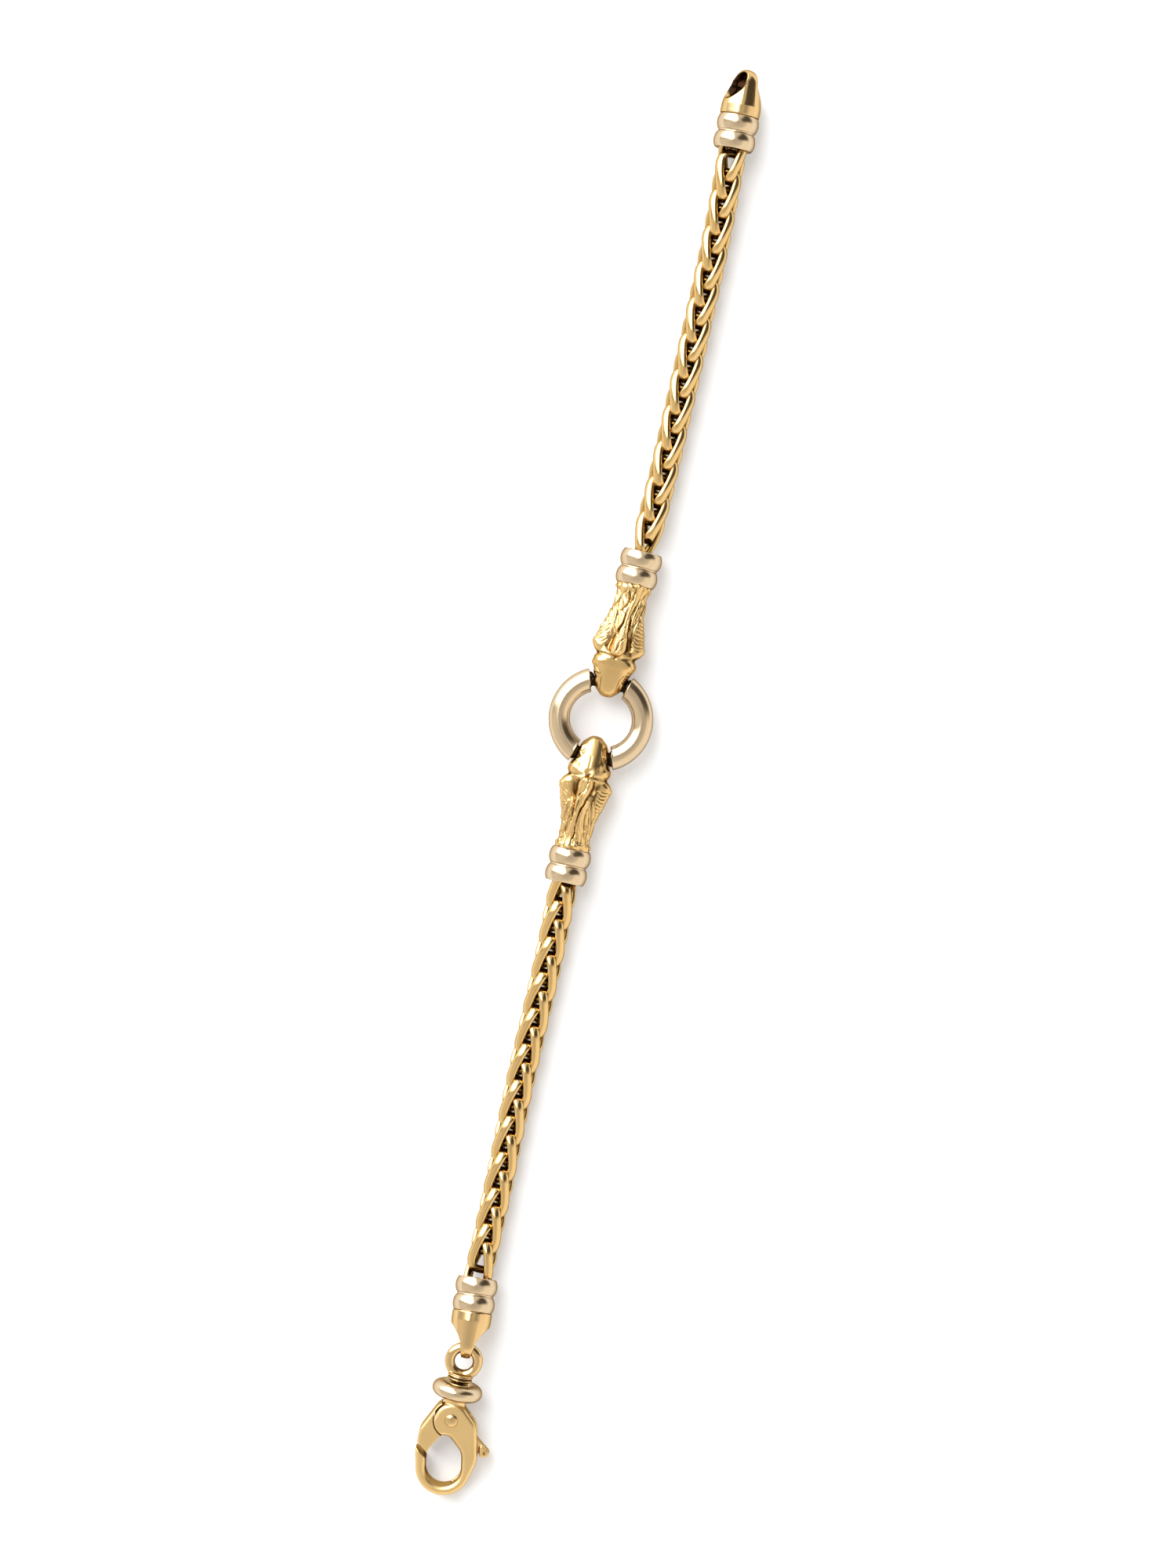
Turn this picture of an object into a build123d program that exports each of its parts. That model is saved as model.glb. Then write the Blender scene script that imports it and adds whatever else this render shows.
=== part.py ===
from build123d import *
import math
import os

# A two-tone gold bracelet, laid out straight on a surface, in millimetres.
# +Y runs along it from the clasp to the plain eye end, +X across it, +Z up, the surface is z = 0.
# Each half is built in its own frame: +y leads outwards from the centre ring, z = 0 is its axis.

# Clearances
SOLDER_GAP = 0.04
RUNNING_GAP = 0.06
LINK_GAP = 0.12

# How far a cutting shape reaches past what it cuts
OVERCUT = 0.10

# Collars: two rounded beads with a groove between them
COLLAR_RADIUS = 2.75
COLLAR_FOOT_RADIUS = 2.46
COLLAR_GROOVE_RADIUS = 2.40
COLLAR_BORE = 2.20
COLLAR_BEAD = 1.93
COLLAR_GROOVE = 0.60
COLLAR_LENGTH = 2 * COLLAR_BEAD + COLLAR_GROOVE
SPIGOT_LENGTH = 1.40

# The collars rest on the surface, so their radius is the height of the axis
AXIS_HEIGHT = COLLAR_RADIUS

# Wheat chain: twisted oval links, alternately left and right handed
WIRE = 1.02
LINK_REACH = 1.50
LINK_PITCH = 2.40
LINK_LENGTH = 2.50 * LINK_PITCH
LINK_START_ANGLE = 79.0
LINK_END_ANGLE = 10.5
LINK_FULLNESS = 3.4
WIRE_SIDES = 6
LINK_STATIONS = 18

# Centre ring
RING_RADIUS = 6.83
RING_SIDE_WIRE = 1.39
RING_END_WIRE = 1.60
RING_NECK = 0.62
RING_HALF_TURN = 75.0
RING_SWELL_TURN = 120.0
MUZZLE_GAP_INSIDE = 2.00
MUZZLE_GAP_OUTSIDE = 2.92
MUZZLE_GAP_DEPTH = 2.90
HINGE_REACH = 4.65

# Animal heads, from the nose to the collar
HEAD_LENGTH = 15.05
HEAD_HALF_WIDTH = 2.75
HEAD_HALF_HEIGHT = 2.60
UPPER_NOSE_REACH = 1.68
LOWER_NOSE_REACH = 2.35
EAR_RISE = 0.35
TUFT_RISE = 0.98
FORELOCK_RISE = 0.38
VALLEY = 0.30
MANE_RISE = 0.15
BROW_RISE = 0.22
MUZZLE_GROOVE = 0.34
HEAD_STATIONS = 46
HEAD_STATION_SHIFT = 0.45
HEAD_SIDES = 32

# Bullet caps with a transverse eye
CAP_RADIUS = 2.60
CAP_STRAIGHT = 1.30
CAP_EYE_REACH = 4.05
CAP_TIP_RADIUS = 2.05
CAP_EYE_RADIUS = 1.50
CAP_WEDGE_START = 1.80
CAP_TONGUE_REACH = 4.80
CAP_TONGUE_HALF = 0.85
CAP_END_HALF = 0.55
CAP_EYE_LAND = 0.35
CAP_EYE_FLARE = 0.35
TIP_CAP_TURN = 30.0

# Swivel eye
EYE_WIRE = 0.66
EYE_REACH = 1.82
EYE_SLACK = 0.25
EYE_LIFT = 0.25
FOOT_RADIUS = 1.65
FOOT_LENGTH = 1.00
FOOT_BITE = 0.80
STEM_RADIUS = 0.62
STEM_HEAD_RADIUS = 0.95
STEM_HEAD_LENGTH = 0.45

# Rondelle round the clasp's neck tube
RONDELLE_RADIUS = 3.30
RONDELLE_TUBE = 1.00
SWIVEL_GAP = 0.30
NECK_RADIUS = 1.50
NECK_LENGTH = 0.62
NECK_BITE = 0.12

# Clasp, seen from above: a side is measured from its middle line, a drop from its pivot
PIVOT_SIDE = -0.11
CHEEK_RADIUS = 2.30
CHEEK_STEP = 0.06
SHOULDER_SIDE = -1.10
SHOULDER_DROP = 1.50
SHOULDER_RADIUS = 2.65
BOW_SIDE = -0.41
BOW_DROP = 4.60
BOW_RADIUS = 4.05
BOW_END_RADIUS = 3.60
CLASP_DROP = 10.10
HOLE_TOP_SIDE = 0.10
HOLE_TOP_DROP = 3.30
HOLE_TOP_RADIUS = 1.15
HOLE_MIDDLE_SIDE = -0.20
HOLE_MIDDLE_DROP = 5.10
HOLE_MIDDLE_RADIUS = 2.30
HOLE_END_RADIUS = 2.33
HOOK_WALL = 1.25
CLASP_HALF = 1.60
CLASP_ROUNDING = 0.55
HOOK_TIP_SIDE = 3.60
HOOK_TIP_DROP = 4.55
HOOK_TIP_ANGLE = -36.0
ARM_SIDE_START = -70.0
ARM_SIDE_END = 95.0
LEVER_ROOM = 0.12
LEVER_PLATE_HALF = 0.65
LEVER_PLATE_RADIUS = 1.42
LEVER_ARM_HALF = 1.50
LEVER_ROUNDING = 0.35
LEVER_TIP_GAP = 0.60
LEVER_OUTER_ANGLE = -50.0
LEVER_INNER_ANGLE = 80.0
LEVER_SPARE_ANGLE = 5.0
LEVER_SHOULDER = 0.30
LEVER_BULGE_SIDE = 1.20
LEVER_BULGE_DROP = 2.60
LEVER_BULGE_RADIUS = 2.50
WEB_HALF = 0.50
WEB_SIDE = 2.20
WEB_DROP = 2.60
TAIL_HALF = 0.55
TAIL_ROOT_HALF = 0.90
TAIL_SIDE = -5.05
TAIL_DROP = 3.35
TAB_HALF = 0.90
TAB_ROUNDING = 0.20
LEVER_TRAVEL = 25.0
RIVET_RADIUS = 0.55
RIVET_DOME_RADIUS = 0.85
RIVET_DOME = 0.22

# Rounds of the leaf-shaped thumb tab at the tail's end
TAB_ROUNDS = [
    # side, drop, radius
    (-4.72, 2.85, 0.30),
    (-5.35, 3.52, 0.50),
    (-4.88, 3.80, 0.27),
]

# How the laid-out bracelet bows: where each collar starts, its side offset and its turn
UPPER_HEAD_TURN = -1.9
UPPER_FAR_MOUTH = 76.22
UPPER_FAR_SIDE = 0.47
UPPER_FAR_TURN = 1.5
UPPER_FIRST_LINK = 0.78
LOWER_HEAD_TURN = 0.0
LOWER_FAR_MOUTH = 74.58
LOWER_FAR_SIDE = -0.33
LOWER_FAR_TURN = 3.8
LOWER_FIRST_LINK = 2.36

# Chosen points of each chain's route: distance from the ring's middle, side offset, height
CHAIN_SAG = 0.62
UPPER_ROUTE = [(33.0, 0.90, -CHAIN_SAG), (50.0, 0.98, -CHAIN_SAG), (65.0, 0.90, -CHAIN_SAG)]
LOWER_ROUTE = [(33.0, -0.20, -CHAIN_SAG), (48.0, -0.10, -CHAIN_SAG), (63.0, -0.32, -CHAIN_SAG)]

# Places that follow from the sizes, those of the clasp measured from the swivel's hinge
EYE_HINGE_REACH = CAP_EYE_REACH + CAP_EYE_RADIUS - EYE_SLACK - EYE_WIRE
CAP_LENGTH = CAP_EYE_REACH + CAP_TIP_RADIUS
FOOT_START = 2 * EYE_REACH + EYE_WIRE - FOOT_BITE
FOOT_END = FOOT_START + FOOT_LENGTH
RONDELLE_REACH = FOOT_END + SWIVEL_GAP + RONDELLE_TUBE
NECK_TUBE_RADIUS = RONDELLE_RADIUS - 2 * RONDELLE_TUBE - SOLDER_GAP
NECK_START = RONDELLE_REACH + RONDELLE_TUBE
NECK_END = NECK_START + NECK_LENGTH
PIVOT_REACH = NECK_END + CHEEK_RADIUS - NECK_BITE
CLASP_REACH = PIVOT_REACH + CLASP_DROP

# The clasp's slope touches the surface with the rondelle's rounded rim and the hook's rounded edge
RIM_REACH = CLASP_REACH - CLASP_ROUNDING - RONDELLE_REACH
RIM_DROP = (RONDELLE_RADIUS - RONDELLE_TUBE) - (CLASP_HALF - CLASP_ROUNDING)
CLASP_TILT = math.degrees(
    math.atan2(RIM_DROP, RIM_REACH)
    + math.asin((RONDELLE_TUBE - CLASP_ROUNDING) / math.hypot(RIM_REACH, RIM_DROP))
)
RONDELLE_HEIGHT = (RONDELLE_RADIUS - RONDELLE_TUBE) * math.cos(math.radians(CLASP_TILT)) + RONDELLE_TUBE
EYE_HINGE_HEIGHT = RONDELLE_HEIGHT + RONDELLE_REACH * math.sin(math.radians(CLASP_TILT))
END_CAP_PITCH = math.degrees(
    math.asin((EYE_HINGE_HEIGHT - EYE_LIFT - AXIS_HEIGHT) / (COLLAR_LENGTH + EYE_HINGE_REACH))
)
TIP_REACH = UPPER_FAR_MOUTH + COLLAR_LENGTH + CAP_LENGTH
CLASP_END_REACH = LOWER_FAR_MOUTH + COLLAR_LENGTH + EYE_HINGE_REACH + CLASP_REACH
RING_PLACE = (CLASP_END_REACH - TIP_REACH) / 2


def bump(value, centre, half_width):
    """A smooth hill of height 1 at the centre, 0 from the half width on."""
    share = (value - centre) / half_width
    if abs(share) >= 1:
        return 0.0
    return math.cos(share * math.pi / 2) ** 2


def blend(value, start, end):
    """A smooth rise from 0 at the start to 1 at the end."""
    share = min(max((value - start) / (end - start), 0.0), 1.0)
    return share * share * (3 - 2 * share)


def faceted(loops, closed_path):
    """A solid of flat triangles through loops of points, with its ends filled by fans."""
    faces = []
    count = len(loops[0])
    pairs = list(zip(loops, loops[1:]))
    if closed_path:
        pairs.append((loops[-1], loops[0]))
    for low, high in pairs:
        for i in range(count):
            j = (i + 1) % count
            for corners in ((low[i], low[j], high[j]), (low[i], high[j], high[i])):
                faces.append(Face(Wire.make_polygon(corners, close=True)))
    if not closed_path:
        for loop in (loops[0], loops[-1]):
            middle = sum(loop, Vector(0, 0, 0)) / count
            for i in range(count):
                corners = (loop[i], loop[(i + 1) % count], middle)
                faces.append(Face(Wire.make_polygon(corners, close=True)))
    body = Solid(Shell(faces))
    return body if body.volume > 0 else Solid(Shell([-face for face in faces]))


def power(value, exponent):
    return math.copysign(abs(value) ** exponent, value)


def link(hand):
    """One twisted oval link along +y: upright bend at y = 0, level bend at its far end."""
    centres = []
    for i in range(LINK_STATIONS):
        turn = 2 * math.pi * i / LINK_STATIONS
        along = 0.5 - 0.5 * power(math.cos(turn), 2 / LINK_FULLNESS)
        reach = LINK_REACH * power(math.sin(turn), 2 / LINK_FULLNESS)
        angle = math.radians(LINK_START_ANGLE + (LINK_END_ANGLE - LINK_START_ANGLE) * along)
        x = hand * reach * math.cos(angle)
        centres.append(Vector(x, LINK_LENGTH * along, reach * math.sin(angle)))
    middle = sum(centres, Vector(0, 0, 0)) / LINK_STATIONS
    loops = []
    for i, centre in enumerate(centres):
        tangent = (centres[(i + 1) % LINK_STATIONS] - centres[i - 1]).normalized()
        outward = centre - Vector(0, middle.Y, 0)
        outward = (outward - tangent * outward.dot(tangent)).normalized()
        across = tangent.cross(outward)
        loop = []
        for k in range(WIRE_SIDES):
            side = 2 * math.pi * k / WIRE_SIDES
            loop.append(centre + (outward * math.cos(side) + across * math.sin(side)) * (WIRE / 2))
        loops.append(loop)
    return faceted(loops, True)


def frame_along(route, share):
    """The place on the route at this share of its length, with +y along the route."""
    tangent = route.tangent_at(share).normalized()
    side = tangent.cross(Vector(0, 0, 1)).normalized()
    return Location(Plane(origin=route.position_at(share), x_dir=side, z_dir=side.cross(tangent)))


def chain(near, far, chosen, first_link, first_hand):
    """Links from the near collar into the far one; both are given by their mouths' frames."""
    inside_near = near * Location((0, -COLLAR_LENGTH / 2, 0))
    inside_far = far * Location((0, COLLAR_LENGTH / 2, 0))
    points = [inside_near.position, near.position]
    points += [Vector(side, reach, height) for reach, side, height in chosen]
    points += [far.position, inside_far.position]
    route = Spline(*points)
    start = COLLAR_LENGTH / 2 - first_link
    room = route.length - start - LINK_LENGTH - WIRE / 2
    room -= COLLAR_LENGTH / 2 - (COLLAR_LENGTH - SPIGOT_LENGTH) + LINK_GAP
    count = int(room / LINK_PITCH) + 1
    shapes = {hand: link(hand) for hand in (1, -1)}
    links = []
    hand = first_hand
    for i in range(count):
        middle = start + i * LINK_PITCH + LINK_LENGTH / 2
        place = frame_along(route, middle / route.length) * Location((0, -LINK_LENGTH / 2, 0))
        links.append(shapes[hand].moved(place))
        hand = -hand
    return Compound(children=links)


def collar():
    """Two rounded beads round a bore, from y = 0 outwards."""
    bead_top = (COLLAR_RADIUS, COLLAR_BEAD / 2)
    groove_start = (COLLAR_FOOT_RADIUS, COLLAR_BEAD)
    groove_end = (COLLAR_FOOT_RADIUS, COLLAR_BEAD + COLLAR_GROOVE)
    second_top = (COLLAR_RADIUS, COLLAR_LENGTH - COLLAR_BEAD / 2)
    groove_middle = (COLLAR_GROOVE_RADIUS, COLLAR_LENGTH / 2)
    outline = Curve() + [
        Line((COLLAR_BORE, 0), (COLLAR_FOOT_RADIUS, 0)),
        ThreePointArc((COLLAR_FOOT_RADIUS, 0), bead_top, groove_start),
        ThreePointArc(groove_start, groove_middle, groove_end),
        ThreePointArc(groove_end, second_top, (COLLAR_FOOT_RADIUS, COLLAR_LENGTH)),
        Line((COLLAR_FOOT_RADIUS, COLLAR_LENGTH), (COLLAR_BORE, COLLAR_LENGTH)),
        Line((COLLAR_BORE, COLLAR_LENGTH), (COLLAR_BORE, 0)),
    ]
    return revolve(make_face(outline), Axis.Y)


def rod(radius, start, end):
    """A round rod about the y axis."""
    return Plane.XZ * Pos(0, 0, -start) * Cylinder(
        radius, end - start, align=(Align.CENTER, Align.CENTER, Align.MAX)
    )


def ring():
    """Round wire, thicker towards two gaps, with a thinner neck across each gap."""
    thick = RING_END_WIRE
    swell_end = 1 - math.cos(math.radians(RING_SWELL_TURN))
    halves = []
    for facing in (0, 180):
        sections = []
        for step in range(-3, 4):
            swell = (1 - math.cos(math.radians(RING_SWELL_TURN * step / 3))) / swell_end
            wire = RING_SIDE_WIRE + (thick - RING_SIDE_WIRE) * swell
            place = math.radians(facing + RING_HALF_TURN * step / 3)
            outward = Vector(math.cos(place), math.sin(place), 0)
            tangent = Vector(-math.sin(place), math.cos(place), 0)
            section = Plane(origin=outward * (RING_RADIUS - wire), x_dir=(0, 0, 1), z_dir=tangent)
            sections.append(section * Circle(wire))
        halves.append(loft(sections))
    solid = halves[0] + halves[1]
    inside = HINGE_REACH - MUZZLE_GAP_DEPTH / 2
    slope = (MUZZLE_GAP_OUTSIDE - MUZZLE_GAP_INSIDE) / MUZZLE_GAP_DEPTH
    for facing in (0, 180):
        near = MUZZLE_GAP_INSIDE - slope * inside
        far = MUZZLE_GAP_INSIDE + slope * (RING_RADIUS + thick - inside)
        reach = RING_RADIUS + thick
        gap = make_face(Polyline((-near, 0), (near, 0), (far, reach), (-far, reach), close=True))
        solid -= Rotation(0, 0, facing) * extrude(gap, 2 * thick, both=True)
        neck = Rotation(0, 90, 0) * Cylinder(RING_NECK, 2 * MUZZLE_GAP_OUTSIDE + RING_NECK)
        solid += Rotation(0, 0, facing) * Pos(0, HINGE_REACH, 0) * neck
    return solid


# Sections of the head: share of its length from the nose, then the half width as a share of
# HEAD_HALF_WIDTH, the heights above and below the axis as shares of HEAD_HALF_HEIGHT,
# and how square the section is, 1 being an ellipse
HEAD_SECTIONS = [
    # along, width, top, under, square
    (0.000, 0.10, 0.20, 0.10, 1.00),
    (0.008, 0.26, 0.36, 0.28, 0.95),
    (0.030, 0.45, 0.50, 0.46, 0.85),
    (0.060, 0.60, 0.58, 0.56, 0.75),
    (0.105, 0.70, 0.66, 0.60, 0.70),
    (0.155, 0.79, 0.74, 0.64, 0.70),
    (0.195, 0.87, 0.80, 0.70, 0.74),
    (0.225, 0.94, 0.84, 0.78, 0.78),
    (0.285, 1.00, 0.92, 0.88, 0.82),
    (0.345, 1.00, 0.97, 0.92, 0.86),
    (0.420, 0.88, 0.96, 0.92, 0.92),
    (0.520, 0.84, 0.93, 0.90, 0.95),
    (0.660, 0.80, 0.86, 0.86, 1.00),
    (0.800, 0.76, 0.80, 0.80, 1.00),
    (0.930, 0.76, 0.80, 0.80, 1.00),
    (0.960, 0.84, 0.89, 0.89, 1.00),
    (1.000, 0.84, 0.89, 0.89, 1.00),
]

# Relief on the head: places and half lengths as shares along it, sides and spreads in degrees
# round it from its top line
EAR_PLACE = 0.415
EAR_HALF = 0.075
EAR_SIDE = 80.0
EAR_SPREAD = 34.0
TUFT_START = 0.360
TUFT_FULL = 0.460
TUFT_FADE = 0.480
TUFT_END = 0.820
TUFT_SIDE = 78.0
TUFT_SPREAD = 38.0
FORELOCK_START = 0.345
FORELOCK_FULL = 0.395
FORELOCK_FADE = 0.620
FORELOCK_END = 0.920
FORELOCK_LOSS = 0.55
FORELOCK_SPREAD = 30.0
VALLEY_PLACE = 0.500
VALLEY_HALF = 0.160
VALLEY_SIDE = 36.0
VALLEY_SPREAD = 20.0
MANE_START = 0.550
MANE_FULL = 0.660
MANE_FADE = 0.920
MANE_END = 0.970
MANE_STRANDS = 7
MANE_SLANT = 420.0
BROW_PLACE = 0.300
BROW_HALF = 0.070
BROW_SIDE = 48.0
BROW_SPREAD = 26.0
GROOVE_START = 0.020
GROOVE_FULL = 0.080
GROOVE_FADE = 0.200
GROOVE_END = 0.250
GROOVE_SIDE = 50.0
GROOVE_SPREAD = 14.0


def head_section(along):
    """The section at this share of the head, between the two nearest rows of the table."""
    for low, high in zip(HEAD_SECTIONS, HEAD_SECTIONS[1:]):
        if along <= high[0]:
            share = (along - low[0]) / (high[0] - low[0])
            return [a + (b - a) * share for a, b in zip(low[1:], high[1:])]
    return HEAD_SECTIONS[-1][1:]


def head_relief(along, angle):
    """How far the surface stands out, angle in degrees from the top line."""
    side = abs(angle)
    ear = EAR_RISE * bump(along, EAR_PLACE, EAR_HALF) * bump(side, EAR_SIDE, EAR_SPREAD)
    tuft = TUFT_RISE * blend(along, TUFT_START, TUFT_FULL) * blend(along, TUFT_END, TUFT_FADE)
    tuft *= bump(side, TUFT_SIDE, TUFT_SPREAD)
    forelock = FORELOCK_RISE * blend(along, FORELOCK_START, FORELOCK_FULL) * bump(angle, 0, FORELOCK_SPREAD)
    forelock *= 1 - FORELOCK_LOSS * blend(along, FORELOCK_FADE, FORELOCK_END)
    valley = -VALLEY * bump(along, VALLEY_PLACE, VALLEY_HALF) * bump(side, VALLEY_SIDE, VALLEY_SPREAD)
    strands = MANE_RISE * math.cos(math.radians(MANE_STRANDS * side - MANE_SLANT * along))
    strands *= blend(along, MANE_START, MANE_FULL) * blend(along, MANE_END, MANE_FADE)
    brow = BROW_RISE * bump(along, BROW_PLACE, BROW_HALF) * bump(side, BROW_SIDE, BROW_SPREAD)
    groove = -MUZZLE_GROOVE * bump(side, GROOVE_SIDE, GROOVE_SPREAD)
    groove *= blend(along, GROOVE_START, GROOVE_FULL) * blend(along, GROOVE_END, GROOVE_FADE)
    return ear + tuft + forelock + valley + strands + brow + groove


def head(nose_reach):
    """The cast head with its nose towards -y, its hinge at y = 0 and a spigot for the collar."""
    loops = []
    for i in range(HEAD_STATIONS):
        share = i / (HEAD_STATIONS - 1)
        along = share * (1 - HEAD_STATION_SHIFT * (1 - share))
        width, top, under, square = head_section(along)
        y = HEAD_LENGTH * along - nose_reach
        loop = []
        for k in range(HEAD_SIDES):
            angle = 360 * k / HEAD_SIDES
            signed = angle if angle <= 180 else angle - 360
            across = power(math.sin(math.radians(angle)), square) * width * HEAD_HALF_WIDTH
            height = top if abs(signed) < 90 else under
            up = power(math.cos(math.radians(angle)), square) * height * HEAD_HALF_HEIGHT
            stand = head_relief(along, signed) / math.hypot(across, up)
            loop.append(Vector(across * (1 + stand), y, up * (1 + stand)))
        loops.append(loop)
    spigot_radius = COLLAR_BORE - SOLDER_GAP
    back = HEAD_LENGTH - nose_reach
    for y in (back, back + SPIGOT_LENGTH):
        loops.append([
            Vector(spigot_radius * math.sin(turn), y, spigot_radius * math.cos(turn))
            for turn in [2 * math.pi * k / HEAD_SIDES for k in range(HEAD_SIDES)]
        ])
    bore = Rotation(0, 90, 0) * Cylinder(RING_NECK + RUNNING_GAP, 4 * HEAD_HALF_WIDTH)
    return faceted(loops, False) - bore


def cap():
    """Bullet cap from y = 0 outwards, its sides cut to a tongue with a flared eye through it."""
    lean = math.asin((CAP_RADIUS - CAP_TIP_RADIUS) / (CAP_EYE_REACH - CAP_STRAIGHT))
    shoulder = (CAP_TIP_RADIUS * math.cos(lean), CAP_EYE_REACH + CAP_TIP_RADIUS * math.sin(lean))
    middle_turn = (lean + math.pi / 2) / 2
    end_middle = (
        CAP_TIP_RADIUS * math.cos(middle_turn),
        CAP_EYE_REACH + CAP_TIP_RADIUS * math.sin(middle_turn),
    )
    outline = Curve() + [
        Line((0, 0), (CAP_RADIUS, 0)),
        Line((CAP_RADIUS, 0), (CAP_RADIUS, CAP_STRAIGHT)),
        Line((CAP_RADIUS, CAP_STRAIGHT), shoulder),
        ThreePointArc(shoulder, end_middle, (0, CAP_LENGTH)),
        Line((0, CAP_LENGTH), (0, 0)),
    ]
    bullet = revolve(make_face(outline), Axis.Y)
    wide = CAP_RADIUS + OVERCUT
    end = CAP_LENGTH + OVERCUT
    wedge = make_face(Polyline(
        (-wide, -OVERCUT), (wide, -OVERCUT), (wide, CAP_WEDGE_START),
        (CAP_TONGUE_HALF, CAP_TONGUE_REACH), (CAP_END_HALF, end),
        (-CAP_END_HALF, end), (-CAP_TONGUE_HALF, CAP_TONGUE_REACH),
        (-wide, CAP_WEDGE_START), close=True,
    ))
    solid = bullet & extrude(wedge, wide, both=True)
    flare_end = CAP_EYE_RADIUS + CAP_EYE_FLARE * (CAP_RADIUS - CAP_EYE_LAND)
    flare = make_face(Polyline(
        (0, 0), (CAP_EYE_RADIUS, 0), (CAP_EYE_RADIUS, CAP_EYE_LAND),
        (flare_end, CAP_RADIUS), (0, CAP_RADIUS), close=True,
    ))
    half_hole = Rotation(0, 0, -90) * revolve(flare, Axis.Y)
    for facing in (0, 180):
        solid -= Pos(0, CAP_EYE_REACH, 0) * Rotation(0, facing, 0) * half_hole
    return solid + rod(COLLAR_BORE - SOLDER_GAP, -SPIGOT_LENGTH, 0)


def swivel_eye():
    """Ring, foot and headed stem, from the hinge at y = 0 outwards."""
    solid = Pos(0, EYE_REACH, 0) * Torus(EYE_REACH, EYE_WIRE)
    solid += rod(FOOT_RADIUS, FOOT_START, FOOT_END)
    head_start = NECK_END + RUNNING_GAP
    solid += rod(STEM_RADIUS, FOOT_END - FOOT_LENGTH / 2, head_start + STEM_HEAD_LENGTH / 2)
    return solid + rod(STEM_HEAD_RADIUS, head_start, head_start + STEM_HEAD_LENGTH)


def rondelle():
    bead = Torus(RONDELLE_RADIUS - RONDELLE_TUBE, RONDELLE_TUBE)
    return Pos(0, RONDELLE_REACH, 0) * Rotation(90, 0, 0) * bead


def disc(side, drop, radius):
    """A filled circle in the clasp's plan, with its seam towards +y."""
    return Pos(side, PIVOT_REACH + drop) * Rotation(0, 0, 90) * Circle(radius)


def plate(plan, half_height, rounding):
    """A flat plate with its upper and lower edges rounded."""
    solid = extrude(plan, half_height, both=True)
    rims = [edge for edge in solid.edges() if abs(abs(edge.center().Z) - half_height) < rounding / 100]
    return fillet(rims, rounding)


def hull(*shapes):
    return make_hull([edge for shape in shapes for edge in shape.edges()])


def sector(start, end, reach):
    """A wedge about the clasp's pivot between two directions, in degrees."""
    corners = [(0, 0)]
    for turn in (start, (start + end) / 2, end):
        corners.append((reach * math.cos(math.radians(turn)), reach * math.sin(math.radians(turn))))
    return Pos(PIVOT_SIDE, PIVOT_REACH) * make_face(Polyline(*corners, close=True))


def about_pivot(shape, turn):
    """A plan turned about the clasp's pivot."""
    return Pos(PIVOT_SIDE, PIVOT_REACH) * Rotation(0, 0, turn) * Pos(-PIVOT_SIDE, -PIVOT_REACH) * shape


def hook_tip_cut(gap):
    """Everything on the lever's side of the hook's tip, drawn back from it by the gap."""
    turn = Rotation(0, 0, HOOK_TIP_ANGLE - 180)
    long = 2 * CLASP_REACH
    tip = Pos(HOOK_TIP_SIDE, PIVOT_REACH + HOOK_TIP_DROP)
    return tip * turn * Pos(0, gap + long / 2) * Rectangle(2 * long, long)


def hole_plan():
    """The opening inside the hook, narrower towards the pivot."""
    return hull(
        disc(HOLE_TOP_SIDE, HOLE_TOP_DROP, HOLE_TOP_RADIUS),
        disc(HOLE_MIDDLE_SIDE, HOLE_MIDDLE_DROP, HOLE_MIDDLE_RADIUS),
        disc(BOW_SIDE, CLASP_DROP - HOOK_WALL - HOLE_END_RADIUS, HOLE_END_RADIUS),
    )


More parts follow.
